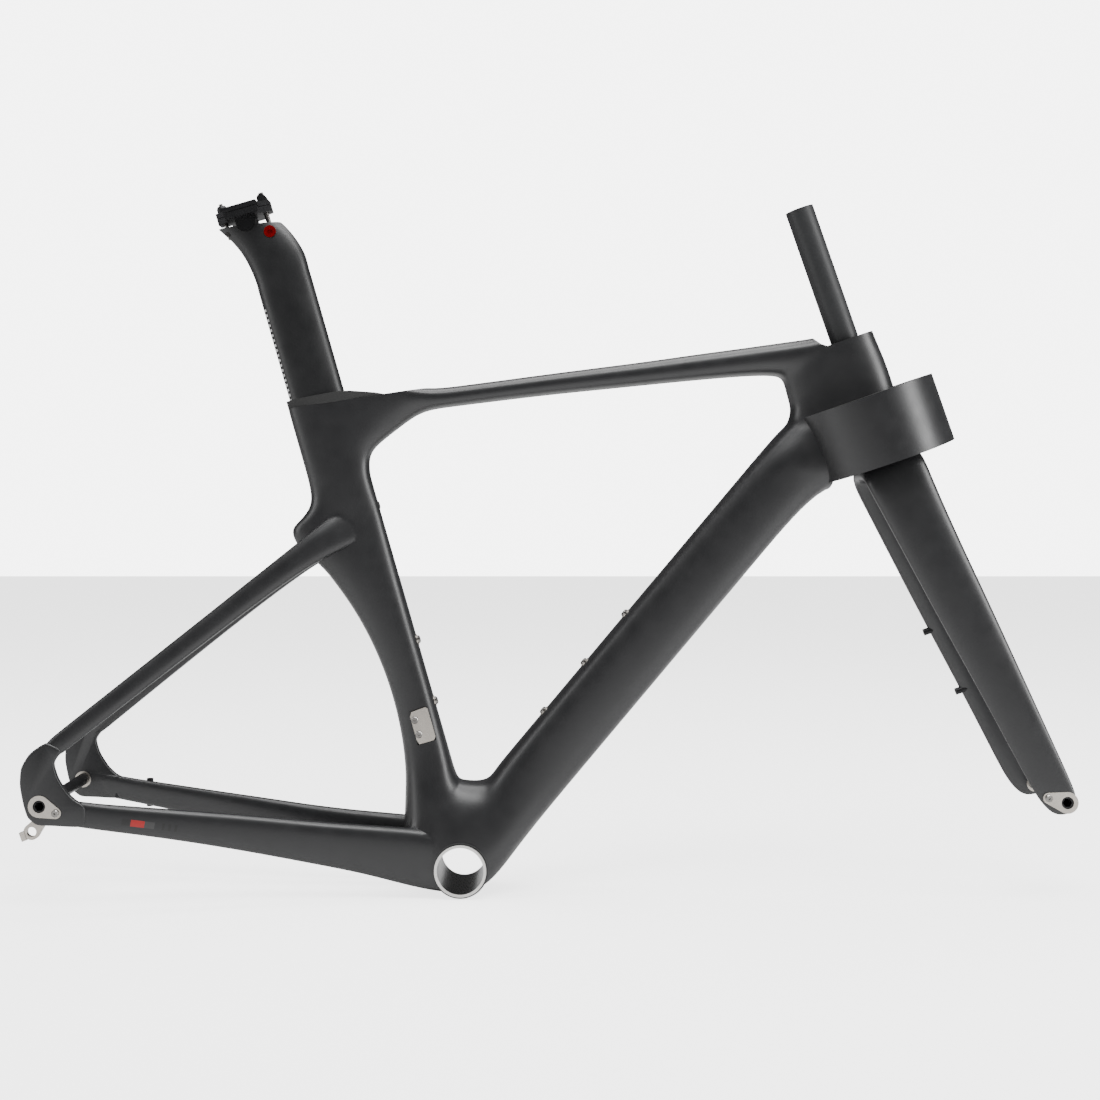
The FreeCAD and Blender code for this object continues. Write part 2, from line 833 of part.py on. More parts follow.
brake_outer = mm("brake_bore") / 2 + 0.9
brake_side = rear_middle - 2.5
rear_side("right", False)
rear_side("left", True)

down_hollow = loft(down_stations, inset=wall)
down_shape = down_solid.cut(down_hollow).cut(head_solid).cut(shell_solid)
down_shape = down_shape.cut(seat_solid).cut(crown_sweep)
for point, direction in boss_seats[2:]:
    down_shape = down_shape.cut(boss_space(point, direction))
moulded("down_tube", biggest(down_shape))

top_hollow = loft(top_stations, inset=wall)
top_shape = top_solid.cut(top_hollow).cut(head_solid).cut(seat_solid).cut(down_solid)
top_shape = top_shape.cut(above_collar).cut(steer_drum(upper_seat + 6, -60, 20))
moulded("top_tube", biggest(top_shape))
moulded("seat_tube", biggest(seat_shape))
yoke_shape = yoke_solid.cut(loft(yoke_stations, inset=wall + 0.5))
moulded("seatstay_yoke", biggest(yoke_shape))
sleeve_radius = mm("bracket_bore") / 2 + mm("sleeve_wall")
moulded("bottom_bracket_shell", shell_solid.cut(drum(sleeve_radius, 100, Vector(0, 0, 0))))


# ---- frame hardware ----

sleeve_profile = (
    ("size.bracket_bore / 2", "-size.bracket_width / 2"),
    ("size.sleeve_flange / 2", "-size.bracket_width / 2"),
    ("size.sleeve_flange / 2", "size.sleeve_flange_depth - size.bracket_width / 2"),
    ("size.bracket_bore / 2 + size.sleeve_wall", "size.sleeve_flange_depth - size.bracket_width / 2"),
    ("size.bracket_bore / 2 + size.sleeve_wall", "size.bracket_width / 2 - size.sleeve_flange_depth"),
    ("size.sleeve_flange / 2", "size.bracket_width / 2 - size.sleeve_flange_depth"),
    ("size.sleeve_flange / 2", "size.bracket_width / 2"),
    ("size.bracket_bore / 2", "size.bracket_width / 2"),
)
keep(turned("bracket_sleeve", sleeve_profile), "bottom_bracket_sleeve", across_place(Vector(0, 0, 0)))

mount_outline = (
    (-8, -mount_length / 2),
    (7, -mount_length / 2),
    (mount_breadth / 2, 3 - mount_length / 2),
    (mount_breadth / 2, mount_length / 2 - 2),
    (mount_breadth / 2 - 2, mount_length / 2),
    (-7, mount_length / 2 - 1),
    (-mount_breadth / 2, mount_length / 2 - 5),
    (-mount_breadth / 2, 5 - mount_length / 2),
)
mount_shift = mount_screws_ahead - mount_middle_ahead
mount_circles = (
    (mount_shift, "size.mount_pitch / 2", "size.mount_hole / 2"),
    (mount_shift, "-size.mount_pitch / 2", "size.mount_hole / 2"),
)
mount_plate = milled("mount_plate", mount_outline, mount_thick - 0.4, mount_circles)
mount_turn = Rotation(sideways, -seat_tilt).multiply(Rotation(Vector(1, 0, 0), 90))
mount_place = Placement(seat_point(mount_height, mount_middle_ahead, mount_inner), mount_turn)
keep(mount_plate, "front_derailleur_mount", mount_place)
mount_screws = []
for number, place in enumerate(mount_screw_places):
    screw = small_screw(f"mount_screw_{number}")
    screw.Placement = Placement(Vector(place.x, mount_inner - mount_thick + 0.4, place.z), mount_turn)
    mount_screws.append(screw)
keep(group("mount_screws", mount_screws), "front_derailleur_screws")

boss_profile = (
    ("size.boss_bore / 2", -boss_depth),
    ("size.boss_diameter / 2", -boss_depth),
    ("size.boss_diameter / 2", 0),
    ("size.boss_diameter / 2 + 1.2", 0),
    ("size.boss_diameter / 2 + 1.2", 0.8),
    ("size.boss_bore / 2", 0.8),
)
boss_bolt_profile = (
    (0, -8),
    ("size.boss_bore / 2", -8),
    ("size.boss_bore / 2", 0.8),
    (4, 0.8),
    (4, 2.4),
    (2.8, 3.4),
    (0, 3.4),
)
boss_items = []
boss_bolts = []
for number, (point, direction) in enumerate(boss_seats):
    place = Placement(point, Rotation(upward, direction))
    boss = turned(f"boss_{number}", boss_profile)
    boss.Placement = place
    boss_items.append(boss)
    bolt = with_socket(turned(f"boss_bolt_{number}", boss_bolt_profile), f"bolt_{number}", 3, 1.8, 3.4)
    bolt.Placement = place
    boss_bolts.append(bolt)
keep(group("bosses", boss_items), "bottle_boss_inserts")
keep(group("boss_screws", boss_bolts), "bottle_boss_bolts")

brake_sleeves = []
for number, (low, high) in enumerate(((-19, 3), (-28, 1))):
    profile = tube_profile(brake_outer, "size.brake_bore / 2", low, high)
    sleeve = turned(f"brake_sleeve_{number}", profile)
    sleeve.Placement.Base = rear_point(brake_first + number * mm("brake_spacing"), 0, brake_side)
    brake_sleeves.append(sleeve)
keep(group("brake_sleeves", brake_sleeves), "brake_mount_inserts")

bolt_hole = doc.addObject("Part::Cylinder", "wedge_hole")
bolt_hole.Radius = clamp_bolt / 2 + 0.2
bolt_hole.Height = wedge_high - wedge_low + 2
bolt_hole.Placement.Base = Vector(0, 0, -1)
wedge_block = doc.addObject("Part::Box", "wedge_block")
wedge_block.Length = 16.4 - 2 * wedge_fit
wedge_block.Width = wedge_width - 2 * wedge_fit
wedge_block.Height = wedge_high - wedge_low - 3
wedge_block.Placement.Base = Vector(wedge_fit - 8.2, wedge_fit - wedge_width / 2, 0)
wedge_item = combined("Part::Cut", "wedge", wedge_block, bolt_hole)
keep(wedge_item, "seat_clamp_wedge", seat_place(wedge_low + 1, wedge_ahead))
wedge_top = wedge_high - wedge_low - 2
clamp_bolt_profile = (
    (0, -14),
    (clamp_bolt / 2, -14),
    (clamp_bolt / 2, wedge_top),
    (4.8, wedge_top),
    (4.8, wedge_top + 5),
    (0, wedge_top + 5),
)
clamp_bolt_item = turned("wedge_bolt", clamp_bolt_profile)
clamp_bolt_item = with_socket(clamp_bolt_item, "wedge_bolt_head", 4, 3, wedge_top + 5)
keep(clamp_bolt_item, "seat_clamp_bolt", seat_place(wedge_low, wedge_ahead))

cover_stations = []
for height in (455, 475, 500):
    top = height - 487 + seat_length
    cover_stations.append((seat_point(top, 69), seat_point(top, seat_rear), 0, seat_width + 0.5))
collar_hole = loft([post_station(height, post_fit) for height in (seat_length - 40, seat_length + 20)])
collar_shape = seat_prism((*collar_under, *collar_top), 40).common(loft(cover_stations))
moulded("seat_collar_cover", biggest(collar_shape.cut(collar_hole)))

grommet_profile = ((0, -2), (grommet_radius, -2), (grommet_radius, 5), (2.6, 6.4), (2.6, 2), (0, 2))
keep(turned("grommet", grommet_profile), "cable_grommet", across_place(grommet_place + sideways * 6))
plug_profile = ((0, 0.2 - wall), (plug_radius, 0.2 - wall), (plug_radius, 0.3), (2.8, 0.9), (0, 0.9))
keep(turned("plug", plug_profile), "seat_tube_plug", along_place(plug_place, ahead_axis))

# ---- steering ----


def race_pair(name, diameter, bore, down):
    """outer and inner race with a ball groove between them, and the ball circle's radius"""
    pitch = f"(size.{diameter} + size.{bore}) / 4"
    low, high = "-size.bearing_height", 0
    outer = ring(name + "_outer", f"size.{diameter} / 2", f"{pitch} + 1", low, high)
    inner = ring(name + "_inner", f"{pitch} - 1", f"size.{bore} / 2", low, high)
    races = []
    for part, race in (("outer", outer), ("inner", inner)):
        groove = doc.addObject("Part::Torus", f"{name}_{part}_groove")
        groove.setExpression("Radius1", pitch)
        groove.setExpression("Radius2", "size.ball_diameter / 2 + size.race_gap")
        groove.setExpression("Placement.Base.z", "-size.bearing_height / 2")
        races.append(combined("Part::Cut", f"{name}_{part}_race", race, groove))
    keep(races[0], f"{name}_bearing_outer_race", steer_place(down))
    keep(races[1], f"{name}_bearing_inner_race", steer_place(down))
    balls = []
    count = int(mm("ball_count"))
    circle = (mm(diameter) + mm(bore)) / 4
    for number in range(count):
        angle = 2 * math.pi * number / count
        ball = doc.addObject("Part::Sphere", f"{name}_ball_{number}")
        ball.setExpression("Radius", "size.ball_diameter / 2")
        ball.Placement.Base = Vector(circle * math.cos(angle), circle * math.sin(angle), 0)
        ball.setExpression("Placement.Base.z", "-size.bearing_height / 2")
        balls.append(ball)
    keep(group(name + "_ball_ring", balls), f"{name}_bearing_balls", steer_place(down))


upper_down = mm("bearing_recess")
lower_down = head_length - seat_depth
race_pair("upper", "upper_bearing_diameter", "upper_bearing_bore", upper_down)
race_pair("lower", "lower_bearing_diameter", "lower_bearing_bore", lower_down)

seal_profile = tube_profile("size.upper_bearing_diameter / 2", 17.8, 0, 2)
keep(turned("seal", seal_profile), "headset_seal", steer_place(upper_down))
relieved = "size.steerer_diameter / 2 - size.steerer_relief"
compression_profile = (
    (relieved, -5),
    ("size.upper_bearing_bore / 2", -5),
    ("size.upper_bearing_bore / 2", 0),
    (17.2, 0),
    (17.2, 1.2),
    (relieved, 1.2),
)
keep(turned("compression", compression_profile), "compression_ring", steer_place(upper_down))

crown_top = head_length + mm("crown_gap")
race_bottom = head_length - mm("bearing_recess")
crown_race_profile = (
    ("size.steerer_base_diameter / 2", 0),
    (24, 0),
    (24, 2.5),
    (22, 4),
    (22, race_bottom * -1 + crown_top),
    ("size.steerer_base_diameter / 2", race_bottom * -1 + crown_top),
)
keep(turned("crown_race", crown_race_profile), "crown_race", steer_place(crown_top))

steerer_bottom = -(crown_top + mm("steerer_socket"))
steerer_profile = (
    ("size.steerer_base_diameter / 2 - size.steerer_wall", steerer_bottom),
    ("size.steerer_base_diameter / 2", steerer_bottom),
    ("size.steerer_base_diameter / 2", 14 - head_length),
    (relieved, -head_length / 2),
    (relieved, 1),
    ("size.steerer_diameter / 2", 1),
    ("size.steerer_diameter / 2", "size.steerer_length"),
    ("size.steerer_diameter / 2 - size.steerer_wall", "size.steerer_length"),
    ("size.steerer_diameter / 2 - size.steerer_wall", -head_length / 2),
    ("size.steerer_base_diameter / 2 - size.steerer_wall", 14 - head_length),
)
keep(turned("steerer", steerer_profile), "steerer_tube", steer_place(0))

# ---- fork ----

crown_rows = (
    (0, 28.3, -20, 23.5),
    (6, 29, -28, 31),
    (16, 29.3, -32.8, 38.5),
    (30.5, 29.3, -31.3, 46),
)
crown_under = crown_top + crown_rows[-1][0]
crown_stations = []
for below, front, rear, half_width in crown_rows:
    down = crown_top + below
    crown_stations.append((steer_point(down, front), steer_point(down, rear), 0, 2 * half_width))
crown_shape = loft(crown_stations)
steerer_seat = mm("steerer_base_diameter") / 2
crown_shape = crown_shape.cut(steer_drum(steerer_seat, crown_top - 1, -steerer_bottom))
crown_shape = crown_shape.cut(steer_drum(steerer_seat - 5, crown_top, crown_under + 5))
moulded("fork_crown", biggest(crown_shape))

# Blade: shares of the way from the crown to the axle, how far the front and rear edges
# have moved from the crown's towards the tip's, the sideways middle and the width.
front_middle = (mm("front_spacing") + mm("front_plate")) / 2
tip_width = mm("front_plate")
blade_rows = (
    (0, 0, 0, 36, 20),
    (0.138, 0.12, 0.119, 38.5, 19),
    (0.369, 0.378, 0.336, 42, 17),
    (0.6, 0.637, 0.575, 46, 15),
    (0.831, 0.884, 0.799, 50, 12),
    (0.946, 1, 0.9, front_middle - 0.5, tip_width + 2),
    (1, 0.99, 1, front_middle, tip_width),
    (1.03, 0.86, 1.08, front_middle, tip_width),
)
blade_run = front_axle_down - crown_under
blade_stations = []
for share, front_share, rear_share, spread, width in blade_rows:
    down = crown_under + share * blade_run
    front = 29.3 + front_share * (mm("fork_rake") + 10.5 - 29.3)
    rear = -31.3 + rear_share * (mm("fork_rake") - 21.5 + 31.3)
    blade_stations.append((steer_point(down, front), steer_point(down, rear), -spread, width))
blade_solid = loft(blade_stations)
blade_hollow = loft(blade_stations[:5], inset=wall)
blade_shape = blade_solid.cut(blade_hollow)
left_blade = mirrored(blade_shape)

front_inner = mm("front_spacing") / 2
front_outer = front_inner + mm("front_plate")
insert_place = across_place(Vector(front_axle.x, -front_inner, front_axle.z))
front_blank, front_item = axle_insert("front_insert", front_insert_screw, "front_plate")
keep(front_item, "front_axle_insert", insert_place)
screw_x = front_axle.x + front_insert_screw[0]
screw_z = front_axle.z + front_insert_screw[1]
blade_shape = blade_shape.cut(filled(front_blank, insert_place))
blade_shape = blade_shape.cut(drum(screw_radius, 30, Vector(screw_x, -front_outer, screw_z)))
blade_shape = blade_shape.cut(drum(axle_hole, 40, Vector(front_axle.x, -front_inner, front_axle.z)))
moulded("fork_blade_right", biggest(blade_shape))
screw_place = across_place(Vector(screw_x, -front_outer - lift, screw_z))
keep(small_screw("front_screw"), "front_insert_screw", screw_place)

left_blade = left_blade.cut(drum(axle_hole, 40, Vector(front_axle.x, front_inner, front_axle.z)))
fork_sleeves = []
for number, (share, length) in enumerate(((0.46, 62), (0.66, 55))):
    down = crown_under + share * blade_run
    spread = 37 + 15 * share
    middle_ahead = -1 + share * (mm("fork_rake") - 5)
    place = steer_point(down, middle_ahead - length / 2, spread)
    direction = steer_point(0, 1) - steer_point(0, 0)
    left_blade = left_blade.cut(Part.makeCylinder(brake_outer, length, place, direction))
    profile = tube_profile(brake_outer, "size.brake_bore / 2", 0, length)
    sleeve = turned(f"fork_sleeve_{number}", profile)
    sleeve.Placement = along_place(place, direction)
    fork_sleeves.append(sleeve)
keep(group("fork_sleeves", fork_sleeves), "fork_brake_inserts")
moulded("fork_blade_left", biggest(left_blade))
front_bush_profile = tube_profile(
    "size.axle_diameter / 2 + 2.5",
    "size.axle_diameter / 2 + size.axle_fit",
    0,
    "size.front_plate",
)
front_bush_place = across_place(Vector(front_axle.x, front_outer, front_axle.z))
keep(turned("front_bush", front_bush_profile), "front_axle_bush", front_bush_place)


def thru_axle(name, spacing, plate):
    """hollow axle with a flanged head past the far dropout, local Z towards the drive side"""
    tip = f"size.{spacing} / 2 + size.{plate}"
    head = f"-({tip}) - {axle_gap}"
    radius, bore = "size.axle_diameter / 2", "size.axle_bore / 2"
    flange = 8.4
    profile = (
        (bore, f"{head} - 4"),
        (flange, f"{head} - 4"),
        (flange, head),
        (radius, head),
        (radius, tip),
        (bore, tip),
    )
    plain = turned(name, profile)
    return with_socket(plain, name + "_end", "size.axle_bore + 1", 6, tip)


keep(thru_axle("front_axle", "front_spacing", "front_plate"), "front_thru_axle", across_place(front_axle))
keep(thru_axle("rear_axle", "rear_spacing", "rear_plate"), "rear_thru_axle", across_place(rear_point(0, 0)))

# ---- seatpost and saddle clamp ----

layback = mm("post_layback")
head_top = seat_length + mm("post_height")
pivot_height = head_top + 5
pivot_ahead = -layback + 1.5
bolt_reach = mm("clamp_bolt_spacing") / 2
straight_top = head_top - 65
straight_post = loft([post_station(height, 0) for height in (post_bottom, straight_top)])
straight_hollow = Part.makeLoft(
    [loop(*post_station(height, 0), inset=mm("post_wall")) for height in (post_bottom, straight_top)],
    True,
)
post_stations = [post_station(straight_top, 0), post_station(straight_top + 12, 0)]
post_head_rows = ((-38.6, 27.2, -30.2, -31.3, 27), (-20.3, 21.9, -11.3, -38.5, 27), (-4, 13.5, 6, -49, 27))
for front_up, front, rear_up, rear, width in post_head_rows:
    front_edge = seat_point(head_top + front_up, front + (21 - layback))
    rear_edge = seat_point(head_top + rear_up, rear + (21 - layback))
    post_stations.append((front_edge, rear_edge, 0, width))
post_shape = straight_post.fuse(loft(post_stations)).cut(straight_hollow)
cradle_radius = mm("cradle_radius")
pivot_fit = mm("pivot_fit")
pivot_place = seat_point(pivot_height, pivot_ahead)
post_shape = post_shape.cut(drum(cradle_radius + pivot_fit, 60, pivot_place))
barrel_height = head_top - 11.7
rear_pin_height = head_top - 2.5
rear_pin_radius = 2.5
front_bolt_ahead = pivot_ahead + bolt_reach
rear_bolt_ahead = pivot_ahead - bolt_reach
front_bolt = mm("front_bolt_diameter") / 2
rear_bolt = mm("rear_bolt_diameter") / 2
room = mm("swing_room")
barrel_radius = mm("barrel_nut_diameter") / 2
pin_fit = 0.05
barrel_place = seat_point(barrel_height, front_bolt_ahead)
pin_place = seat_point(rear_pin_height, rear_bolt_ahead)
post_shape = post_shape.cut(drum(barrel_radius + pin_fit, 60, barrel_place))
post_shape = post_shape.cut(drum(rear_pin_radius + pin_fit, 60, pin_place))
for place, radius in ((barrel_place, front_bolt), (pin_place, rear_bolt)):
    post_shape = post_shape.cut(Part.makeCylinder(radius + room, 60, place, seat_axis))
    below = seat_axis * -14
    post_shape = post_shape.cut(Part.makeCylinder(radius + room, 14, place + below, seat_axis))
moulded("seatpost", biggest(post_shape))

half_clamp = bolt_reach + 6.5
ear = mm("clamp_length") / 2
rail_side = mm("rail_spacing") / 2
spine = 8
clamp_outline = (
    (-half_clamp, -spine),
    (-ear, -spine - 4),
    (-ear, "-size.clamp_width / 2"),
    (ear, "-size.clamp_width / 2"),
    (ear, -spine - 4),
    (half_clamp, -spine),
    (half_clamp, spine),
    (ear, spine + 4),
    (ear, "size.clamp_width / 2"),
    (-ear, "size.clamp_width / 2"),
    (-ear, spine + 4),
    (-half_clamp, spine),
)
clamp_circles = (
    (bolt_reach, 0, f"size.front_bolt_diameter / 2 + {room}"),
    (-bolt_reach, 0, f"size.rear_bolt_diameter / 2 + {room}"),
)
plate_low = 4
rail_level = plate_low + mm("clamp_plate")
rail_gap = 0.6


def rail_grooves(item, name, level):
    for side in (-1, 1):
        rail = doc.addObject("Part::Cylinder", f"{name}_rail_{side + 1}")
        rail.setExpression("Radius", "size.rail_diameter / 2")
        rail.Height = 120
        rail.Placement = Placement(Vector(-60, side * rail_side, level), Rotation(sideways, 90))
        item = combined("Part::Cut", f"{name}_grooved_{side + 1}", item, rail)
    return item


clamp_place = Placement(pivot_place, Rotation(sideways, -seat_tilt))
cradle_plate = milled("cradle_plate", clamp_outline, "size.clamp_plate", clamp_circles)
cradle_plate.Placement.Base = Vector(0, 0, plate_low)
cradle_drum = doc.addObject("Part::Cylinder", "cradle_drum")
cradle_drum.setExpression("Radius", "size.cradle_radius")
cradle_drum.Height = 26
cradle_drum.Placement = Placement(Vector(0, 13, 0), Rotation(Vector(1, 0, 0), 90))
cradle_crop = doc.addObject("Part::Box", "cradle_crop")
cradle_crop.Length = 30
cradle_crop.Width = 40
cradle_crop.Height = 20
cradle_crop.Placement.Base = Vector(-15, -20, plate_low + 3)
cradle_belly = combined("Part::Cut", "cradle_belly", cradle_drum, cradle_crop)
cradle_item = combined("Part::Fuse", "cradle_fuse", cradle_plate, cradle_belly)
keep(rail_grooves(cradle_item, "cradle", rail_level), "saddle_cradle", clamp_place)
top_plate = milled("top_plate", clamp_outline, "size.clamp_plate - 1", clamp_circles)
top_plate.Placement.Base = Vector(0, 0, rail_level + rail_gap)
keep(rail_grooves(top_plate, "top_clamp", rail_level), "saddle_top_clamp", clamp_place)

nut_level = rail_level + rail_gap + mm("clamp_plate") - 1
front_nut = doc.addObject("Part::Cylinder", "front_nut")
front_nut.Radius = 4.6
front_nut.Height = 15
front_nut.Placement = Placement(Vector(0, 7.5, 0), Rotation(Vector(1, 0, 0), 90))
front_nut_foot = doc.addObject("Part::Box", "front_nut_foot")
front_nut_foot.Length = 9.2
front_nut_foot.Width = 15
front_nut_foot.Height = 3.4
front_nut_foot.Placement.Base = Vector(-4.6, -7.5, -3.4)
front_nut_whole = combined("Part::Fuse", "front_nut_whole", front_nut, front_nut_foot)
front_nut_foot_cut = doc.addObject("Part::Box", "front_nut_trim")
front_nut_foot_cut.Length = 20
front_nut_foot_cut.Width = 20
front_nut_foot_cut.Height = 6
front_nut_foot_cut.Placement.Base = Vector(-10, -10, -9.4)
front_nut_flat = combined("Part::Cut", "front_nut_flat", front_nut_whole, front_nut_foot_cut)
nut_hole = ((0, 0, f"size.front_bolt_diameter / 2 + {room}", -20, 20),)
front_nut_item = bored(front_nut_flat, "front_nut_bored", nut_hole)
front_nut_height = pivot_height + nut_level + 3.4
keep(front_nut_item, "front_clamp_nut", seat_place(front_nut_height, front_bolt_ahead))
dome_bore = f"size.rear_bolt_diameter / 2 + {room}"
dome_profile = ((dome_bore, 0), (5.2, 0), (5.2, 5), (4.2, 7.4), (dome_bore, 8))
rear_nut_place = seat_place(pivot_height + nut_level, rear_bolt_ahead)
keep(turned("rear_nut", dome_profile), "rear_clamp_nut", rear_nut_place)

barrel_half = post_width / 2 + 0.4
barrel_profile = (
    (0, -barrel_half),
    ("size.barrel_nut_diameter / 2", -barrel_half),
    ("size.barrel_nut_diameter / 2", barrel_half),
    (0, barrel_half),
)
barrel_turned = with_socket(turned("barrel_blank", barrel_profile), "barrel_cup", 5, 2, barrel_half)
barrel_hole = doc.addObject("Part::Cylinder", "barrel_hole")
barrel_hole.setExpression("Radius", "size.front_bolt_diameter / 2")
barrel_hole.Height = 40
barrel_hole.Placement = Placement(Vector(0, -20, 0), Rotation(Vector(1, 0, 0), -90))
barrel_item = combined("Part::Cut", "barrel", barrel_turned, barrel_hole)
cross_turn = Rotation(sideways, -seat_tilt).multiply(Rotation(Vector(1, 0, 0), 90))
keep(barrel_item, "clamp_barrel_nut", Placement(barrel_place, cross_turn))
stud_top = pivot_height + nut_level + 10
front_stud = (
    (0, -9),
    ("size.front_bolt_diameter / 2", -9),
    ("size.front_bolt_diameter / 2", stud_top - barrel_height),
    (0, stud_top - barrel_height),
)
keep(turned("front_stud", front_stud), "front_clamp_bolt", seat_place(barrel_height, front_bolt_ahead))

pin_half = post_width / 2 - 4
pin_blank_profile = ((0, -pin_half), (rear_pin_radius, -pin_half), (rear_pin_radius, pin_half), (0, pin_half))
pin_blank = turned("pin_blank", pin_blank_profile)
pin_hole = doc.addObject("Part::Cylinder", "pin_hole")
pin_hole.setExpression("Radius", "size.rear_bolt_diameter / 2")
pin_hole.Height = 20
pin_hole.Placement = Placement(Vector(0, -10, 0), Rotation(Vector(1, 0, 0), -90))
pin_item = combined("Part::Cut", "rear_pin", pin_blank, pin_hole)
keep(pin_item, "rear_pivot_pin", Placement(pin_place, cross_turn))
rear_stud = (
    (0, -4),
    ("size.rear_bolt_diameter / 2", -4),
    ("size.rear_bolt_diameter / 2", stud_top - rear_pin_height),
    (0, stud_top - rear_pin_height),
)
keep(turned("rear_stud", rear_stud), "rear_clamp_bolt", seat_place(rear_pin_height, rear_bolt_ahead))

# ---- writing ----

doc.recompute()
for item in doc.Objects:
    if "Invalid" in item.State or "Error" in item.State:
        raise RuntimeError(f"{item.Name} could not be built: {item.State}")
for item in nodes:
    if item.Shape.isNull() or not item.Shape.isValid():
        raise RuntimeError(f"{item.Label} has no valid shape")
    solids = len(item.Shape.Solids)
    print(item.Label, solids, round(item.Shape.Volume / 1000, 2))

os.makedirs("parts", exist_ok=True)
for item in nodes:
    item.Shape.exportStep(f"parts/{item.Label}.step")
print(len(nodes), "parts written")
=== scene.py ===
import json
import math
import time

import bpy
import numpy as np
from mathutils import Matrix, Vector


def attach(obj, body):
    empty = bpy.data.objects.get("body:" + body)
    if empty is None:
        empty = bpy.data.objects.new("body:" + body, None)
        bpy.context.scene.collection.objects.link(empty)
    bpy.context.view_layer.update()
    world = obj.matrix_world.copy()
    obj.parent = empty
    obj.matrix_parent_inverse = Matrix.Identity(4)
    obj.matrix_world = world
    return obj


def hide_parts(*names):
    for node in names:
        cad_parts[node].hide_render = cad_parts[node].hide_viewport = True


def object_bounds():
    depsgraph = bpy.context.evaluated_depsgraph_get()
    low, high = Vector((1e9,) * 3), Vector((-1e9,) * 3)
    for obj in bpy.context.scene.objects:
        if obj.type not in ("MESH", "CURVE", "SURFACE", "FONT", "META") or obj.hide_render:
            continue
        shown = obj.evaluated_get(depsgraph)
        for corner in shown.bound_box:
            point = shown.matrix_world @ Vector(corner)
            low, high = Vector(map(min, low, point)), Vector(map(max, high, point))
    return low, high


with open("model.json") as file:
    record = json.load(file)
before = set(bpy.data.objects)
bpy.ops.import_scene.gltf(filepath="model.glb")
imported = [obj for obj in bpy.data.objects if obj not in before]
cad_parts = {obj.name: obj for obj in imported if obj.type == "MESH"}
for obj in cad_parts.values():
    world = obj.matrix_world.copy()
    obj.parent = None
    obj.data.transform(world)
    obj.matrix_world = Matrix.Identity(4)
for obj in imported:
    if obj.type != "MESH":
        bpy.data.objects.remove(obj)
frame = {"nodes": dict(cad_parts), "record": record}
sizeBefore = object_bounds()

# Aero road frameset: carbon shells are modelled here, the metal parts keep their own shape.
# Tables are in millimetres, seen from the side: (x, z). Helpers turn them into metres.

mm = 0.001
nodes = frame["nodes"]
steerAxis = Vector((0.32887, 0, -0.94438))
steerAhead = Vector((0.94438, 0, 0.32887))
seatAxis = Vector((-0.275637, 0, 0.961262))
seatAhead = Vector((0.961262, 0, 0.275637))


def steerAt(down, ahead):
    spot = Vector((386, 0, 526)) + steerAxis * down + steerAhead * ahead
    return (spot.x, spot.z)


def seatAt(high, ahead):
    spot = Vector((-11.8, 0, 0)) + seatAxis * high + seatAhead * ahead
    return (spot.x, spot.z)


started = time.time()


def stage(words):
    print(f"{time.time() - started:6.1f} s  {words}", flush=True)


def selectOnly(obj):
    bpy.ops.object.select_all(action="DESELECT")
    obj.select_set(True)
    bpy.context.view_layer.objects.active = obj


def sweep(name, rings, closed=False):
    """rings of points skinned into one tube, from a grid whose two sides are welded"""
    around, along = len(rings[0]), len(rings) - (0 if closed else 1)
    bpy.ops.object.select_all(action="DESELECT")
    bpy.ops.mesh.primitive_grid_add(x_subdivisions=around, y_subdivisions=along, size=1)
    tube = bpy.context.object
    tube.name = name
    for v in tube.data.vertices:
        column = round((v.co.x + 0.5) * around) % around
        row = round((v.co.y + 0.5) * along) % len(rings)
        v.co = rings[row][column]
    bpy.ops.object.mode_set(mode="EDIT")
    bpy.ops.mesh.select_all(action="SELECT")
    bpy.ops.mesh.remove_doubles(threshold=0.00001)
    if not closed:
        bpy.ops.mesh.fill_holes(sides=0)
    bpy.ops.mesh.select_all(action="SELECT")
    bpy.ops.mesh.normals_make_consistent(inside=False)
    bpy.ops.object.mode_set(mode="OBJECT")
    return tube


def section(inner, outer, side, width, boxy=2.6, lean=0.0, flank=(0, 1, 0)):
    """a rounded ring between two edges; lean makes the outer end fuller"""
    a = Vector((inner[0], 0, inner[1]))
    b = Vector((outer[0], 0, outer[1]))
    middle, half = (a + b) / 2, (b - a) / 2 * 1.012
    flankWay = Vector(flank)
    points = []
    for k in range(ringPoints):
        angle = 2 * math.pi * k / ringPoints
        c, s = math.cos(angle), math.sin(angle)
        u = -math.copysign(abs(c) ** (2 / boxy), c)
        v = math.copysign(abs(s) ** (2 / boxy), s) * (1 + lean * u)
        points.append((middle + half * u + Vector((0, side, 0)) + flankWay * (v * width / 2 * 1.012)) * mm)
    return points


ringPoints = 20


def smoothed(obj, levels):
    selectOnly(obj)
    sub = obj.modifiers.new("Smooth", "SUBSURF")
    sub.levels = levels
    sub.render_levels = levels
    bpy.ops.object.modifier_apply(modifier=sub.name)


def carve(obj, cutters, operation="DIFFERENCE", solver="FAST"):
    """a boolean with each shape in turn; the shapes are used up"""
    for cutter in cutters:
        selectOnly(obj)
        cut = obj.modifiers.new("Cut", "BOOLEAN")
        cut.object = cutter
        cut.operation = operation
        cut.solver = solver
        bpy.ops.object.modifier_apply(modifier=cut.name)
        bpy.data.objects.remove(cutter)


def drum(radius, length, middle, way, segments=96):
    """cylinder cutter, sizes in millimetres"""
    turn = Vector((0, 0, 1)).rotation_difference(Vector(way)).to_euler()
    bpy.ops.mesh.primitive_cylinder_add(vertices=segments, radius=radius * mm, depth=length * mm,
                                        location=Vector(middle) * mm, rotation=turn)
    bpy.ops.object.transform_apply(location=True, rotation=True, scale=True)
    return bpy.context.object


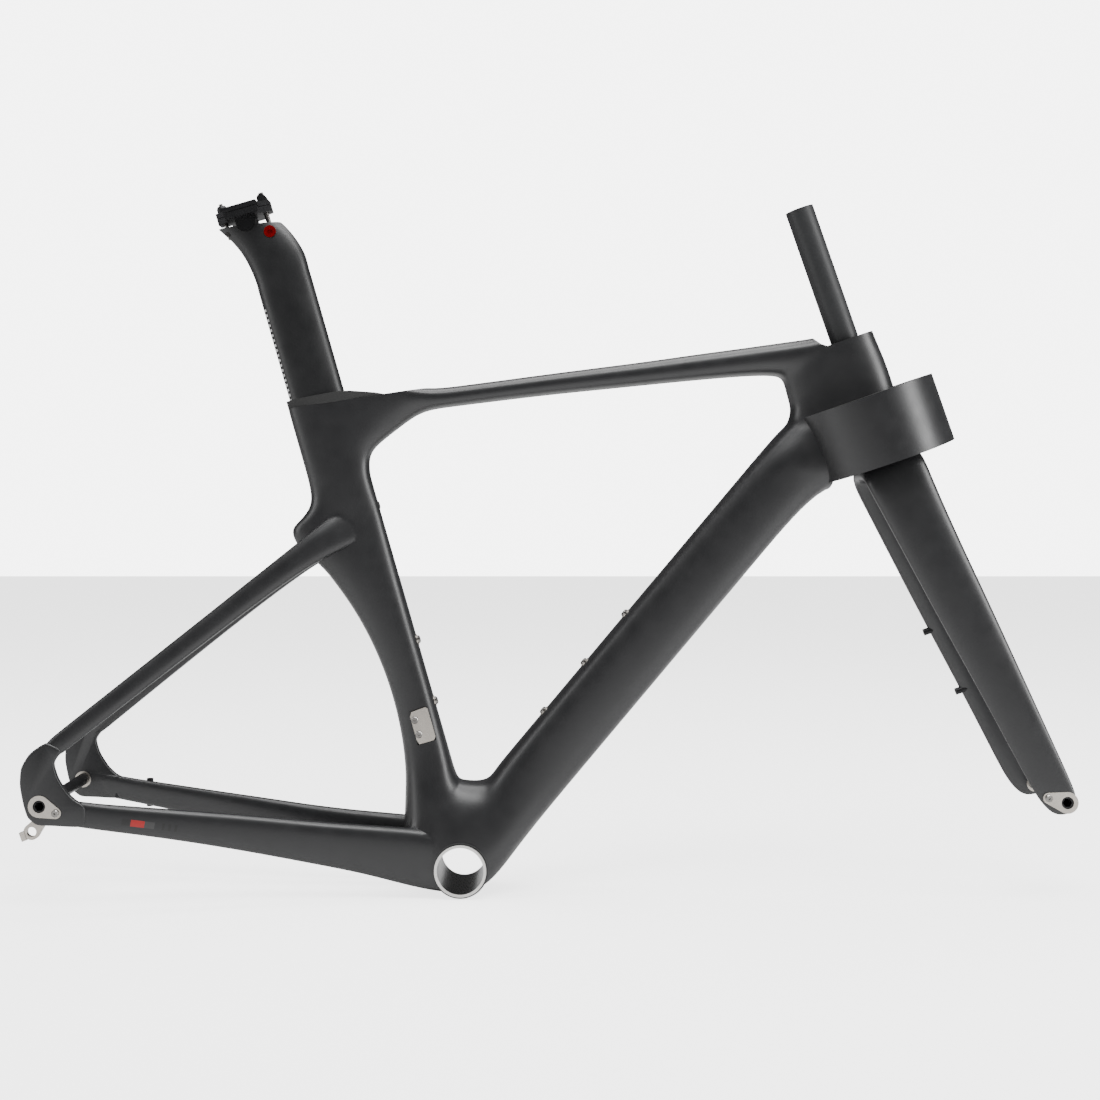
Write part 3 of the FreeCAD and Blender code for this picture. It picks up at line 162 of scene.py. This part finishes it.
def lathe(name, profile, segments=96):
    """solid turned about the steering axis from (radius, down) points"""
    bpy.ops.object.select_all(action="DESELECT")
    bpy.ops.mesh.primitive_circle_add(vertices=len(profile), radius=1, fill_type="NGON")
    solid = bpy.context.object
    solid.name = name
    for v, (radius, down) in zip(solid.data.vertices, profile):
        x, z = steerAt(down, radius)
        v.co = Vector((x, 0, z)) * mm
    bpy.ops.object.mode_set(mode="EDIT")
    bpy.ops.mesh.select_all(action="SELECT")
    bpy.ops.mesh.delete(type="ONLY_FACE")
    bpy.ops.mesh.select_all(action="SELECT")
    x, z = steerAt(0, 0)
    bpy.ops.mesh.spin(steps=segments, angle=2 * math.pi, center=Vector((x, 0, z)) * mm, axis=steerAxis)
    bpy.ops.mesh.select_all(action="SELECT")
    bpy.ops.mesh.remove_doubles(threshold=0.00002)
    bpy.ops.mesh.select_all(action="SELECT")
    bpy.ops.mesh.normals_make_consistent(inside=False)
    bpy.ops.object.mode_set(mode="OBJECT")
    return solid


def slab(outline, halfWidth):
    """side view outline in millimetres pulled out to both sides"""
    bpy.ops.object.select_all(action="DESELECT")
    bpy.ops.mesh.primitive_circle_add(vertices=len(outline), radius=1, fill_type="NGON")
    block = bpy.context.object
    for v, (x, z) in zip(block.data.vertices, outline):
        v.co = Vector((x, -halfWidth, z)) * mm
    bpy.ops.object.mode_set(mode="EDIT")
    bpy.ops.mesh.select_all(action="SELECT")
    bpy.ops.mesh.extrude_region_move(TRANSFORM_OT_translate={"value": (0, 2 * halfWidth * mm, 0)})
    bpy.ops.mesh.select_all(action="SELECT")
    bpy.ops.mesh.normals_make_consistent(inside=False)
    bpy.ops.object.mode_set(mode="OBJECT")
    return block


def softenNear(obj, spots, rounds):
    """smooths the vertices inside boxes given as (low corner, high corner) in millimetres"""
    selectOnly(obj)
    bpy.ops.object.mode_set(mode="EDIT")
    bpy.ops.mesh.select_mode(type="VERT")
    bpy.ops.mesh.select_all(action="DESELECT")
    bpy.ops.object.mode_set(mode="OBJECT")
    for v in obj.data.vertices:
        x, y, z = v.co / mm
        for (x0, y0, z0), (x1, y1, z1) in spots:
            if x0 < x < x1 and y0 < abs(y) < y1 and z0 < z < z1:
                v.select = True
    bpy.ops.object.mode_set(mode="EDIT")
    bpy.ops.mesh.vertices_smooth(factor=0.5, repeat=rounds)
    bpy.ops.object.mode_set(mode="OBJECT")


def finishMesh(obj, angle=35):
    selectOnly(obj)
    bpy.ops.object.shade_smooth_by_angle(angle=math.radians(angle))


# --- main shell: one loop of sections round the triangle's opening ---

shell = {
    "levels": 2,
    "wheelCircle": 347,
    "seatEdge": 29.7,
    "seatBack": -31.7,
    "seatRows": ((104, 42), (135, 35), (170, 32), (205, 32), (240, 32), (272, 32)),
    # height of the front edge, height of the rear edge, how far behind the axis, width
    "tailRows": ((296, 298, -32.5, 32), (312, 316, -39.5, 31.5), (326, 331, -48.5, 31), (338, 344, -57, 30.5),
                 (348, 353, -62, 30), (358, 367, -62.5, 30), (368, 372.5, -51.5, 30.5), (379, 379, -41.5, 31),
                 (390, 387, -34.8, 31.5)),
    "downRows": ((476, 49), (430, 47.5), (380, 47), (325, 47), (265, 47), (205, 47.5), (155, 49)),
    "downLine": (0, 2.6),
    "downDepth": 66.2,
}


def wheelEdge(high):
    x, z = seatAt(high, 0)
    gapX, gapZ = x + 403, z - 70.5
    along = gapX * seatAhead.x + gapZ * seatAhead.z
    return -along + math.sqrt(along ** 2 - gapX ** 2 - gapZ ** 2 + shell["wheelCircle"] ** 2)


def downAt(along, up):
    c, s = 0.64279, 0.76604
    return (shell["downLine"][0] + along * c - up * s, shell["downLine"][1] + along * s + up * c)


rows = []
for high, width in shell["seatRows"]:
    rows.append((seatAt(high, shell["seatEdge"]), seatAt(high, wheelEdge(high)), width, 2.5, -0.06))
for high, backHigh, back, width in shell["tailRows"]:
    rows.append((seatAt(high, shell["seatEdge"]), seatAt(backHigh, back), width, 2.5, -0.05))
rows += [
    (seatAt(399, 29.7), seatAt(401, -31.9), 32, 2.5, -0.05),
    ((-94, 408), seatAt(426, -31.7), 32, 2.5, 0),
    ((-88, 418), seatAt(456, -31.7), 32, 2.6, 0),
    ((-76, 428), seatAt(484, -31.7), 32, 2.8, 0),
    ((-67, 435), seatAt(507, -30), 32, 3.0, 0),
    ((-58, 442), seatAt(510, 2), 32, 3.0, 0),
    ((-46, 450.5), seatAt(505, 36), 32, 3.0, 0),
    ((-33, 455.5), (-73, 483), 32, 2.8, 0),
    ((-18.5, 457.8), (-36, 476), 32.5, 2.6, 0),
    ((-2.3, 459.9), (-2.3, 480.1), 33, 2.5, 0),
    ((38.1, 464.9), (38.1, 485.4), 34, 2.5, 0),
    ((84, 470.5), (84, 491.6), 34, 2.5, 0),
    ((139.1, 476), (139.1, 498.6), 34, 2.5, 0),
    ((190, 481.2), (190, 505), 35, 2.5, 0),
    ((235, 485.6), (236, 511.8), 36, 2.5, 0),
    ((272, 488.8), (278, 517.2), 38, 2.5, 0.02),
    ((296, 490.3), (316, 522.6), 41, 2.6, 0.06),
    ((314, 490.2), (339, 525.6), 44, 2.7, 0.1),
    ((321.5, 488.3), (368, 530), 46, 2.8, 0.14),
    ((324.8, 482.5), (394, 546), 48, 2.9, 0.16),
    ((326.8, 474.5), steerAt(-19, 28), 49, 2.9, 0.17),
    ((328.8, 466.5), steerAt(2, 28.4), 49, 2.7, 0.17),
    ((330.6, 459.5), steerAt(22, 30.2), 49, 2.6, 0.17),
    ((331, 453.5), steerAt(44, 31.0), 50, 2.6, 0.17),
    ((329, 445), steerAt(66, 30.2), 51, 2.6, 0.17),
    ((326, 440), steerAt(88, 29), 54, 2.6, 0.16),
    ((322, 436), steerAt(110, 27.8), 58, 2.8, 0.15),
    ((316, 430), steerAt(133, 27), 60, 2.9, 0.13),
    ((309, 422), steerAt(141, -6), 60, 2.9, 0.1),
    ((300, 411.5), steerAt(141, -40), 57, 2.9, 0.06),
    ((291, 401), (366.5, 380.5), 52, 2.8, 0.02),
]
for along, width in shell["downRows"]:
    rows.append((downAt(along, 33.1), downAt(along, -33.1), width, 3.0, 0))
rows += [
    (downAt(112, 33.1), downAt(112, -33.1), 53, 2.9, 0.04),
    ((35, 95.5), (72, 36.5), 60, 2.8, 0.12),
    ((28.5, 85.5), (52, 11), 69, 2.8, 0.2),
    ((21, 82), (34, -13), 76, 2.8, 0.24),
    ((12, 81.4), (13, -28.5), 80, 2.8, 0.26),
    ((4, 82), (-10, -30), 81, 2.8, 0.26),
    ((-1.5, 83), (-31, -22.5), 79, 2.8, 0.24),
    ((-4, 85), (-50, -6), 74, 2.8, 0.2),
    ((-6, 89), (-58.5, 18), 66, 2.7, 0.12),
    ((-8, 94.5), (-58, 45), 57, 2.6, 0.05),
    ((-10, 101), (-57.2, 71), 49, 2.6, -0.02),
]
rings = [section(i, o, 0, w, n, lean) for i, o, w, n, lean in rows]
frameShell = sweep("frameShell", rings, closed=True)
smoothed(frameShell, shell["levels"])
stage(f"main shell, {len(frameShell.data.polygons)} faces")

# --- stays, joined to the shell and melted into it ---

stays = {
    # upper edge x, depth, side, width
    "seatRows": ((-113, 34, 3.5, 11), (-120, 38, 7, 13.5), (-130, 36, 11.5, 14.5), (-145, 31.5, 16, 15),
                 (-162, 27.5, 20, 14.8), (-182, 24.5, 24.5, 14.3),
                 (-230, 21.5, 32, 13.5), (-290, 20, 46, 13), (-345, 19, 61, 12.5), (-385, 18.5, 71, 10),
                 (-403, 18.5, 74.5, 8)),
    # x, top, bottom, side, width
    "chainRows": ((0, 26, -24, 29, 20), (-25, 39, -23, 30.5, 20.5), (-60, 41.8, -15, 32.5, 19), (-100, 44.5, -3.4, 34.8, 17.5),
                  (-150, 49.2, 7, 38.8, 16.5), (-200, 55.6, 18.1, 45, 15.5), (-250, 61, 28.6, 53, 14.5),
                  (-300, 66.6, 38.2, 62, 13.5), (-345, 71.5, 45.6, 70, 11.5), (-372, 76, 50, 73.4, 9),
                  (-386, 77, 53, 74.5, 6.6)),
    # outline round the axle and the plate's faces
    "dropout": ((6, 62), (-10, 51), (-18.5, 37), (-19.5, 20), (-16, 2), (-12, -11), (-3, -18.5), (14, -19), (30, -20),
                (44, -20), (44, 0), (34, 5.5), (26, 13), (17, 27), (12.5, 42), (22, 54)),
    "plate": (71, 78),
}
joined = [drum(27.4, 85, (0, 0, 0), (0, 1, 0))]
outline = [Vector((-403 + x, 70.5 + z)) for x, z in stays["dropout"]]
for share in (0.17, 0.24):
    cutCorners = []
    for a, b in zip(outline, outline[1:] + outline[:1]):
        cutCorners += [a.lerp(b, share), a.lerp(b, 1 - share)]
    outline = cutCorners
for sign in (-1, 1):
    plate = slab(outline, 3.5)
    plate.data.transform(Matrix.Translation((0, sign * 74.5 * mm, 0)))
    selectOnly(plate)
    soft = plate.modifiers.new("Edge", "BEVEL")
    soft.width = 0.0016
    soft.segments = 3
    soft.limit_method = "ANGLE"
    soft.angle_limit = math.radians(50)
    bpy.ops.object.modifier_apply(modifier=soft.name)
    joined.append(plate)
    rings = []
    for x, deep, side, wide in stays["seatRows"]:
        z = 313 + (x + 175) * 0.8124
        rings.append(section((x, z), (x + deep * 0.6305, z - deep * 0.7762), sign * side, wide, 2.5))
    joined.append(sweep("seatstay", rings))
    smoothed(joined[-1], 2)
    rings = []
    for x, high, low, side, wide in stays["chainRows"]:
        rings.append(section((x - 4, high), (x + 4, low), sign * side, wide, 2.9))
    joined.append(sweep("chainstay", rings))
    smoothed(joined[-1], 2)
carve(frameShell, joined, "UNION")
softenNear(frameShell, (((-160, 6, 335), (-88, 40, 385)), ((-75, 20, 20), (-40, 60, 60))), 5)
stage(f"stays joined, {len(frameShell.data.polygons)} faces")

# seat collar line, flat head top, the turned gap over the crown, the bores, the post's pocket,
# the flats round the bracket and the front derailleur's seat
x0, z0 = seatAt(483.8, -30)
x1, z1 = seatAt(471, 68)
slope = (z1 - z0) / (x1 - x0)
cutters = [slab(((x0 - 40, z0 - 40 * slope), (x1 + 300, z1 + 300 * slope), (x1 + 300, z1 + 130), (x0 - 40, z0 + 60)), 60)]
headTop = [(350, 530), (353.5, 524.5), (358, 520.6), steerAt(0, -23), steerAt(0, 60), steerAt(-80, 60), (350, 600)]
cutters.append(slab(headTop, 60))
cutters.append(lathe("crownGap", ((0, 117.5), (20, 117.5), (44, 127), (66, 127), (66, 190), (0, 190))))
cutters.append(lathe("bores", ((0, -2), (20.9, -2), (20.9, 9.5), (18.4, 9.5), (18.4, 60), (23, 60), (23, 107.5),
                               (26, 107.5), (26, 119), (0, 119))))
cutters.append(drum(24.5, 120, (0, 0, 0), (0, 1, 0)))
cutters.append(drum(8.55, 200, (-403, 0, 70.5), (0, 1, 0)))
pocketRings = [section(seatAt(h, 28), seatAt(h, -28), 0, 27.6, 2.5) for h in (297, 330, 380, 430, 470, 500)]
cutters.append(sweep("pocket", pocketRings))
smoothed(cutters[-1], 2)
plate = [seatAt(124.4, 2.7), seatAt(124.4, 22.3), seatAt(159.2, 22.3), seatAt(159.2, 2.7)]
cutters.append(slab(plate, 12))
cutters[-1].data.transform(Matrix.Translation((0, -27.1 * mm, 0)))
carve(frameShell, cutters)
carve(frameShell, [drum(28.9, 20, (0, y, 0), (0, 1, 0)) for y in (-51.1, 51.1)])
finishMesh(frameShell)
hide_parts("head_tube", "top_tube", "down_tube", "seat_tube", "bottom_bracket_shell", "seatstay_yoke",
            "seatstay_left", "seatstay_right", "chainstay_left", "chainstay_right", "dropout_left", "dropout_right")
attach(frameShell, "frame")
stage(f"frame shell, {len(frameShell.data.polygons)} faces")

# --- fork: an arch from tip to tip, its sections turning over the crown ---

fork = {
    # down front, front, down rear, rear, side, thick, tilt of the thickness in degrees
    "half": (
        (129, 28.5, 133, -33, 9, 24, 86),
        (130, 28.8, 134, -33, 19, 24, 76),
        (133, 29, 137, -33, 27.5, 23, 56),
        (140, 29.3, 143, -33, 33, 21, 32),
        (152, 29.6, 154, -32, 35.6, 19.5, 12),
        (175, 30.6, 175, -28.6, 37, 18.5, 3),
        (224, 34.2, 224, -21.2, 39.8, 17, 0),
        (301, 41.4, 301, -9.4, 43.7, 14, 0),
        (378, 47.8, 378, 3.5, 47.4, 11.5, 0),
        (440, 53, 440, 12.9, 50.4, 9, 0),
        (476, 56, 472, 17.6, 52.3, 7.4, 0),
        (494, 57, 490, 21.5, 53, 6.4, 0),
        (506, 54, 504, 28, 53, 6.2, 0),
        (510.5, 48, 509, 36, 53, 5.8, 0),
    ),
}


def forkRing(row, sign):
    downA, front, downB, back, side, thick, tilt = row
    a, b = steerAt(downA, front), steerAt(downB, back)
    lean = math.radians(tilt)
    flank = Vector((0, sign * math.cos(lean), 0)) - steerAxis * math.sin(lean)
    return section(a, b, sign * side, thick, 2.4, -0.08, flank)


rings = [forkRing(row, -1) for row in reversed(fork["half"])]
rings += [forkRing(row, 1) for row in fork["half"]]
forkShell = sweep("forkShell", rings)
smoothed(forkShell, 2)
x, z = steerAt(498.7, 45.5)
carve(forkShell, [lathe("crownTop", ((0, 60), (70, 60), (70, 129.2), (44, 129.2), (20, 119.6), (0, 119.6))),
                  drum(8.5, 200, (x, 0, z), (0, 1, 0))])
finishMesh(forkShell)
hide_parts("fork_crown", "fork_blade_left", "fork_blade_right")
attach(forkShell, "fork")
stage(f"fork shell, {len(forkShell.data.polygons)} faces")

# --- materials ---


def newMaterial(name):
    material = bpy.data.materials.new(name)
    material.use_nodes = True
    tree = material.node_tree
    shader = tree.nodes["Principled BSDF"]
    coords = tree.nodes.new("ShaderNodeTexCoord")
    return material, tree, shader, coords


def noise(tree, coords, scale, detail=4, stretch=(1, 1, 1)):
    mapping = tree.nodes.new("ShaderNodeMapping")
    mapping.inputs["Scale"].default_value = stretch
    tree.links.new(coords.outputs["Object"], mapping.inputs["Vector"])
    texture = tree.nodes.new("ShaderNodeTexNoise")
    texture.inputs["Scale"].default_value = scale
    texture.inputs["Detail"].default_value = detail
    tree.links.new(mapping.outputs["Vector"], texture.inputs["Vector"])
    return texture.outputs["Fac"]


def ramp(tree, source, low, high, start=0.3, end=0.7):
    stops = tree.nodes.new("ShaderNodeMapRange")
    stops.inputs["From Min"].default_value = start
    stops.inputs["From Max"].default_value = end
    stops.inputs["To Min"].default_value = low
    stops.inputs["To Max"].default_value = high
    tree.links.new(source, stops.inputs["Value"])
    return stops.outputs["Result"]


def mixed(tree, factor, first, second):
    mix = tree.nodes.new("ShaderNodeMix")
    mix.data_type = "RGBA"
    mix.inputs["A"].default_value = (*first, 1)
    mix.inputs["B"].default_value = (*second, 1)
    tree.links.new(factor, mix.inputs["Factor"])
    return mix.outputs["Result"]


def bumped(tree, shader, height, strength, distance):
    bump = tree.nodes.new("ShaderNodeBump")
    bump.inputs["Strength"].default_value = strength
    bump.inputs["Distance"].default_value = distance
    tree.links.new(height, bump.inputs["Height"])
    tree.links.new(bump.outputs["Normal"], shader.inputs["Normal"])


def satinCarbon(name, dark, light, rough, coat):
    material, tree, shader, coords = newMaterial(name)
    clouds = noise(tree, coords, 14, 5)
    grain = noise(tree, coords, 2600, 2)
    tree.links.new(mixed(tree, clouds, dark, light), shader.inputs["Base Color"])
    tree.links.new(ramp(tree, noise(tree, coords, 60, 6), rough - 0.04, rough + 0.05), shader.inputs["Roughness"])
    shader.inputs["Coat Weight"].default_value = coat
    shader.inputs["Coat Roughness"].default_value = 0.34
    shader.inputs["Specular IOR Level"].default_value = 0.5
    bumped(tree, shader, grain, 0.12, 0.00008)
    return material


def metal(name, dark, light, rough, stretch=(1, 1, 1), scale=900, metallic=1.0, depth=0.00004):
    material, tree, shader, coords = newMaterial(name)
    shader.inputs["Metallic"].default_value = metallic
    brush = noise(tree, coords, scale, 3, stretch)
    smudge = noise(tree, coords, 70, 5)
    tree.links.new(mixed(tree, smudge, dark, light), shader.inputs["Base Color"])
    tree.links.new(ramp(tree, brush, rough - 0.06, rough + 0.1), shader.inputs["Roughness"])
    bumped(tree, shader, brush, 0.25, depth)
    return material


def within(tree, value, low, high):
    """1 where a value is between two others"""
    over = tree.nodes.new("ShaderNodeMath")
    over.operation = "GREATER_THAN"
    over.inputs[1].default_value = low
    tree.links.new(value, over.inputs[0])
    under = tree.nodes.new("ShaderNodeMath")
    under.operation = "LESS_THAN"
    under.inputs[1].default_value = high
    tree.links.new(value, under.inputs[0])
    return times(tree, over.outputs[0], under.outputs[0])


def times(tree, first, second):
    both = tree.nodes.new("ShaderNodeMath")
    both.operation = "MULTIPLY"
    tree.links.new(first, both.inputs[0])
    tree.links.new(second, both.inputs[1])
    return both.outputs[0]


def along(tree, coords, way, start=0.0):
    """distance of a point along a direction, in metres"""
    dot = tree.nodes.new("ShaderNodeVectorMath")
    dot.operation = "DOT_PRODUCT"
    dot.inputs[1].default_value = way
    tree.links.new(coords.outputs["Object"], dot.inputs[0])
    shift = tree.nodes.new("ShaderNodeMath")
    shift.operation = "SUBTRACT"
    shift.inputs[1].default_value = start
    tree.links.new(dot.outputs["Value"], shift.inputs[0])
    return shift.outputs[0]


def overlay(tree, shader, mask, colour):
    """paints a colour over what the base colour already has"""
    mix = tree.nodes.new("ShaderNodeMix")
    mix.data_type = "RGBA"
    tree.links.new(shader.inputs["Base Color"].links[0].from_socket, mix.inputs["A"])
    mix.inputs["B"].default_value = (*colour, 1)
    tree.links.new(mask, mix.inputs["Factor"])
    tree.links.new(mix.outputs["Result"], shader.inputs["Base Color"])


looks = {
    "satin_carbon": satinCarbon("satinCarbon", (0.0062, 0.0063, 0.0070), (0.0090, 0.0092, 0.0104), 0.40, 0.35),
    "post_carbon": satinCarbon("postCarbon", (0.0035, 0.0036, 0.0042), (0.0055, 0.0057, 0.0064), 0.42, 0.15),
    "raw_carbon": satinCarbon("rawCarbon", (0.010, 0.0105, 0.0112), (0.016, 0.0165, 0.0178), 0.5, 0.0),
    "silver_alloy": metal("silverAlloy", (0.44, 0.41, 0.37), (0.60, 0.56, 0.51), 0.3, (1, 8, 1)),
    "bolt_steel": metal("boltSteel", (0.20, 0.19, 0.18), (0.30, 0.29, 0.28), 0.24, (1, 6, 1)),
    "bearing_steel": metal("bearingSteel", (0.6, 0.6, 0.6), (0.75, 0.75, 0.76), 0.14),
    "black_alloy": metal("blackAlloy", (0.018, 0.018, 0.019), (0.03, 0.03, 0.032), 0.38, metallic=0.75),
    "red_alloy": metal("redAlloy", (0.30, 0.003, 0.003), (0.42, 0.006, 0.006), 0.32, (1, 6, 1), metallic=0.85),
    "soft_rubber": satinCarbon("softRubber", (0.011, 0.011, 0.011), (0.018, 0.018, 0.018), 0.68, 0.0),
}


def wear(obj, material):
    obj.data.materials.clear()
    obj.data.materials.append(material)


slotOf = {part["node"]: part["material_slot"] for part in frame["record"]["subparts"]}
for name, obj in nodes.items():
    wear(obj, looks[slotOf[name]])
# generic accent bar and slashes low on the drive side chainstay
painted = satinCarbon("paintedCarbon", (0.0062, 0.0063, 0.0070), (0.0090, 0.0092, 0.0104), 0.40, 0.35)
tree = painted.node_tree
shader = tree.nodes["Principled BSDF"]
coords = next(n for n in tree.nodes if n.type == "TEX_COORD")
lie = along(tree, coords, (0.987, 0, -0.158), -0.3296)
rise = along(tree, coords, (0.158, 0, 0.987), 0.0027)
near = within(tree, along(tree, coords, (0, 1, 0)), -0.12, -0.045)
strip = times(tree, near, within(tree, rise, -0.0032, 0.0032))
for low, high, colour in ((0.0, 0.0085, (0.002, 0.002, 0.002)), (0.0085, 0.0215, (0.32, 0.003, 0.003)),
                          (0.0215, 0.031, (0.03, 0.03, 0.03)), (0.038, 0.0405, (0.002, 0.002, 0.002)),
                          (0.044, 0.0465, (0.002, 0.002, 0.002)), (0.050, 0.0525, (0.002, 0.002, 0.002))):
    overlay(tree, shader, times(tree, strip, within(tree, lie, low, high)), colour)
wear(frameShell, painted)
# height marks down the seatpost's rear edge
tree = looks["post_carbon"].node_tree
shader = tree.nodes["Principled BSDF"]
coords = next(n for n in tree.nodes if n.type == "TEX_COORD")
high = along(tree, coords, seatAxis, seatAxis.dot(Vector((-0.0118, 0, 0))))
ahead = along(tree, coords, seatAhead, seatAhead.dot(Vector((-0.0118, 0, 0))))
wave = tree.nodes.new("ShaderNodeMath")
wave.operation = "PINGPONG"
wave.inputs[1].default_value = 0.0026
tree.links.new(high, wave.inputs[0])
marks = times(tree, within(tree, ahead, -0.0290, -0.0236), within(tree, high, 0.40, 0.588))
overlay(tree, shader, marks, (0.0015, 0.0015, 0.0015))
ticks = times(tree, within(tree, wave.outputs[0], 0.0014, 0.01), within(tree, ahead, -0.0272, -0.0246))
overlay(tree, shader, times(tree, ticks, marks), (0.62, 0.62, 0.62))
# the bracket sleeve is bright on its flanges, with painted shade making it dark inside the bore
sleeveWithPaintedShade = metal("sleeveAlloyPaintedShade", (0.62, 0.61, 0.59), (0.74, 0.73, 0.71), 0.26)
tree = sleeveWithPaintedShade.node_tree
coords = next(n for n in tree.nodes if n.type == "TEX_COORD")
overlay(tree, tree.nodes["Principled BSDF"], within(tree, along(tree, coords, (0, 1, 0)), -0.0418, 0.0418), (0.012, 0.012, 0.012))
wear(nodes["bottom_bracket_sleeve"], sleeveWithPaintedShade)
for name in ("fork_brake_inserts", "brake_mount_inserts", "front_thru_axle", "rear_thru_axle"):
    wear(nodes[name], looks["black_alloy"])
wear(forkShell, looks["satin_carbon"])
stage("materials on")

# --- floor, lights and camera ---

studio = {
    "floor": -0.012,
    "camera": (0.0835, -1.650, 0.375),
    "lens": 53.5,
    "shift": (0.0045, -0.0545),
}
floorLow = sizeBefore[0][2] - 0.001
bpy.ops.mesh.primitive_plane_add(size=12, location=(0, 0, floorLow))
floor = bpy.context.object
floor.name = "floor"
bpy.ops.object.transform_apply(location=True, rotation=True, scale=True)
material, tree, shader, coords = newMaterial("paper")
tree.links.new(mixed(tree, noise(tree, coords, 3, 3), (0.80, 0.80, 0.80), (0.84, 0.84, 0.84)), shader.inputs["Base Color"])
tree.links.new(ramp(tree, noise(tree, coords, 40, 4), 0.7, 0.85), shader.inputs["Roughness"])
wear(floor, material)
glow = tree.nodes.new("ShaderNodeLightPath")
lift = tree.nodes.new("ShaderNodeMapRange")
lift.inputs["To Max"].default_value = 2.6
tree.links.new(glow.outputs["Is Camera Ray"], lift.inputs["Value"])
tree.links.new(lift.outputs["Result"], shader.inputs["Emission Strength"])
shader.inputs["Emission Color"].default_value = (1, 1, 1, 1)

world = bpy.data.worlds.new("studio") if not bpy.context.scene.world else bpy.context.scene.world
bpy.context.scene.world = world
world.use_nodes = True
sky = world.node_tree.nodes["Background"]
sky.inputs["Color"].default_value = (1, 1, 1, 1)
seen = world.node_tree.nodes.new("ShaderNodeLightPath")
level = world.node_tree.nodes.new("ShaderNodeMapRange")
level.inputs["To Min"].default_value = 0.13
level.inputs["To Max"].default_value = 6.0
world.node_tree.links.new(seen.outputs["Is Camera Ray"], level.inputs["Value"])
world.node_tree.links.new(level.outputs["Result"], sky.inputs["Strength"])


def softLight(name, place, target, size, power, tint=(1, 1, 1)):
    bpy.ops.object.light_add(type="AREA", location=place)
    lamp = bpy.context.object
    lamp.name = name
    lamp.data.shape = "RECTANGLE"
    lamp.data.size, lamp.data.size_y = size
    lamp.data.energy = power
    lamp.data.color = tint
    lamp.rotation_euler = (Vector(target) - Vector(place)).to_track_quat("-Z", "Y").to_euler()
    return lamp


softLight("key", (0.5, -0.9, 2.3), (0.1, 0, 0.3), (2.4, 0.8), 62)
softLight("top", (0.0, 0.3, 2.3), (0.1, 0, 0.3), (2.6, 1.4), 62)
softLight("front", (2.1, -0.8, 0.9), (0.4, 0, 0.3), (0.7, 1.6), 40)
softLight("back", (-2.1, -0.7, 0.9), (-0.2, 0, 0.3), (0.7, 1.6), 16)

bpy.ops.object.camera_add(location=studio["camera"], rotation=(math.radians(90), 0, 0))
camera = bpy.context.object
camera.data.lens = studio["lens"]
camera.data.sensor_width = 36
camera.data.shift_x, camera.data.shift_y = studio["shift"]
bpy.context.scene.camera = camera
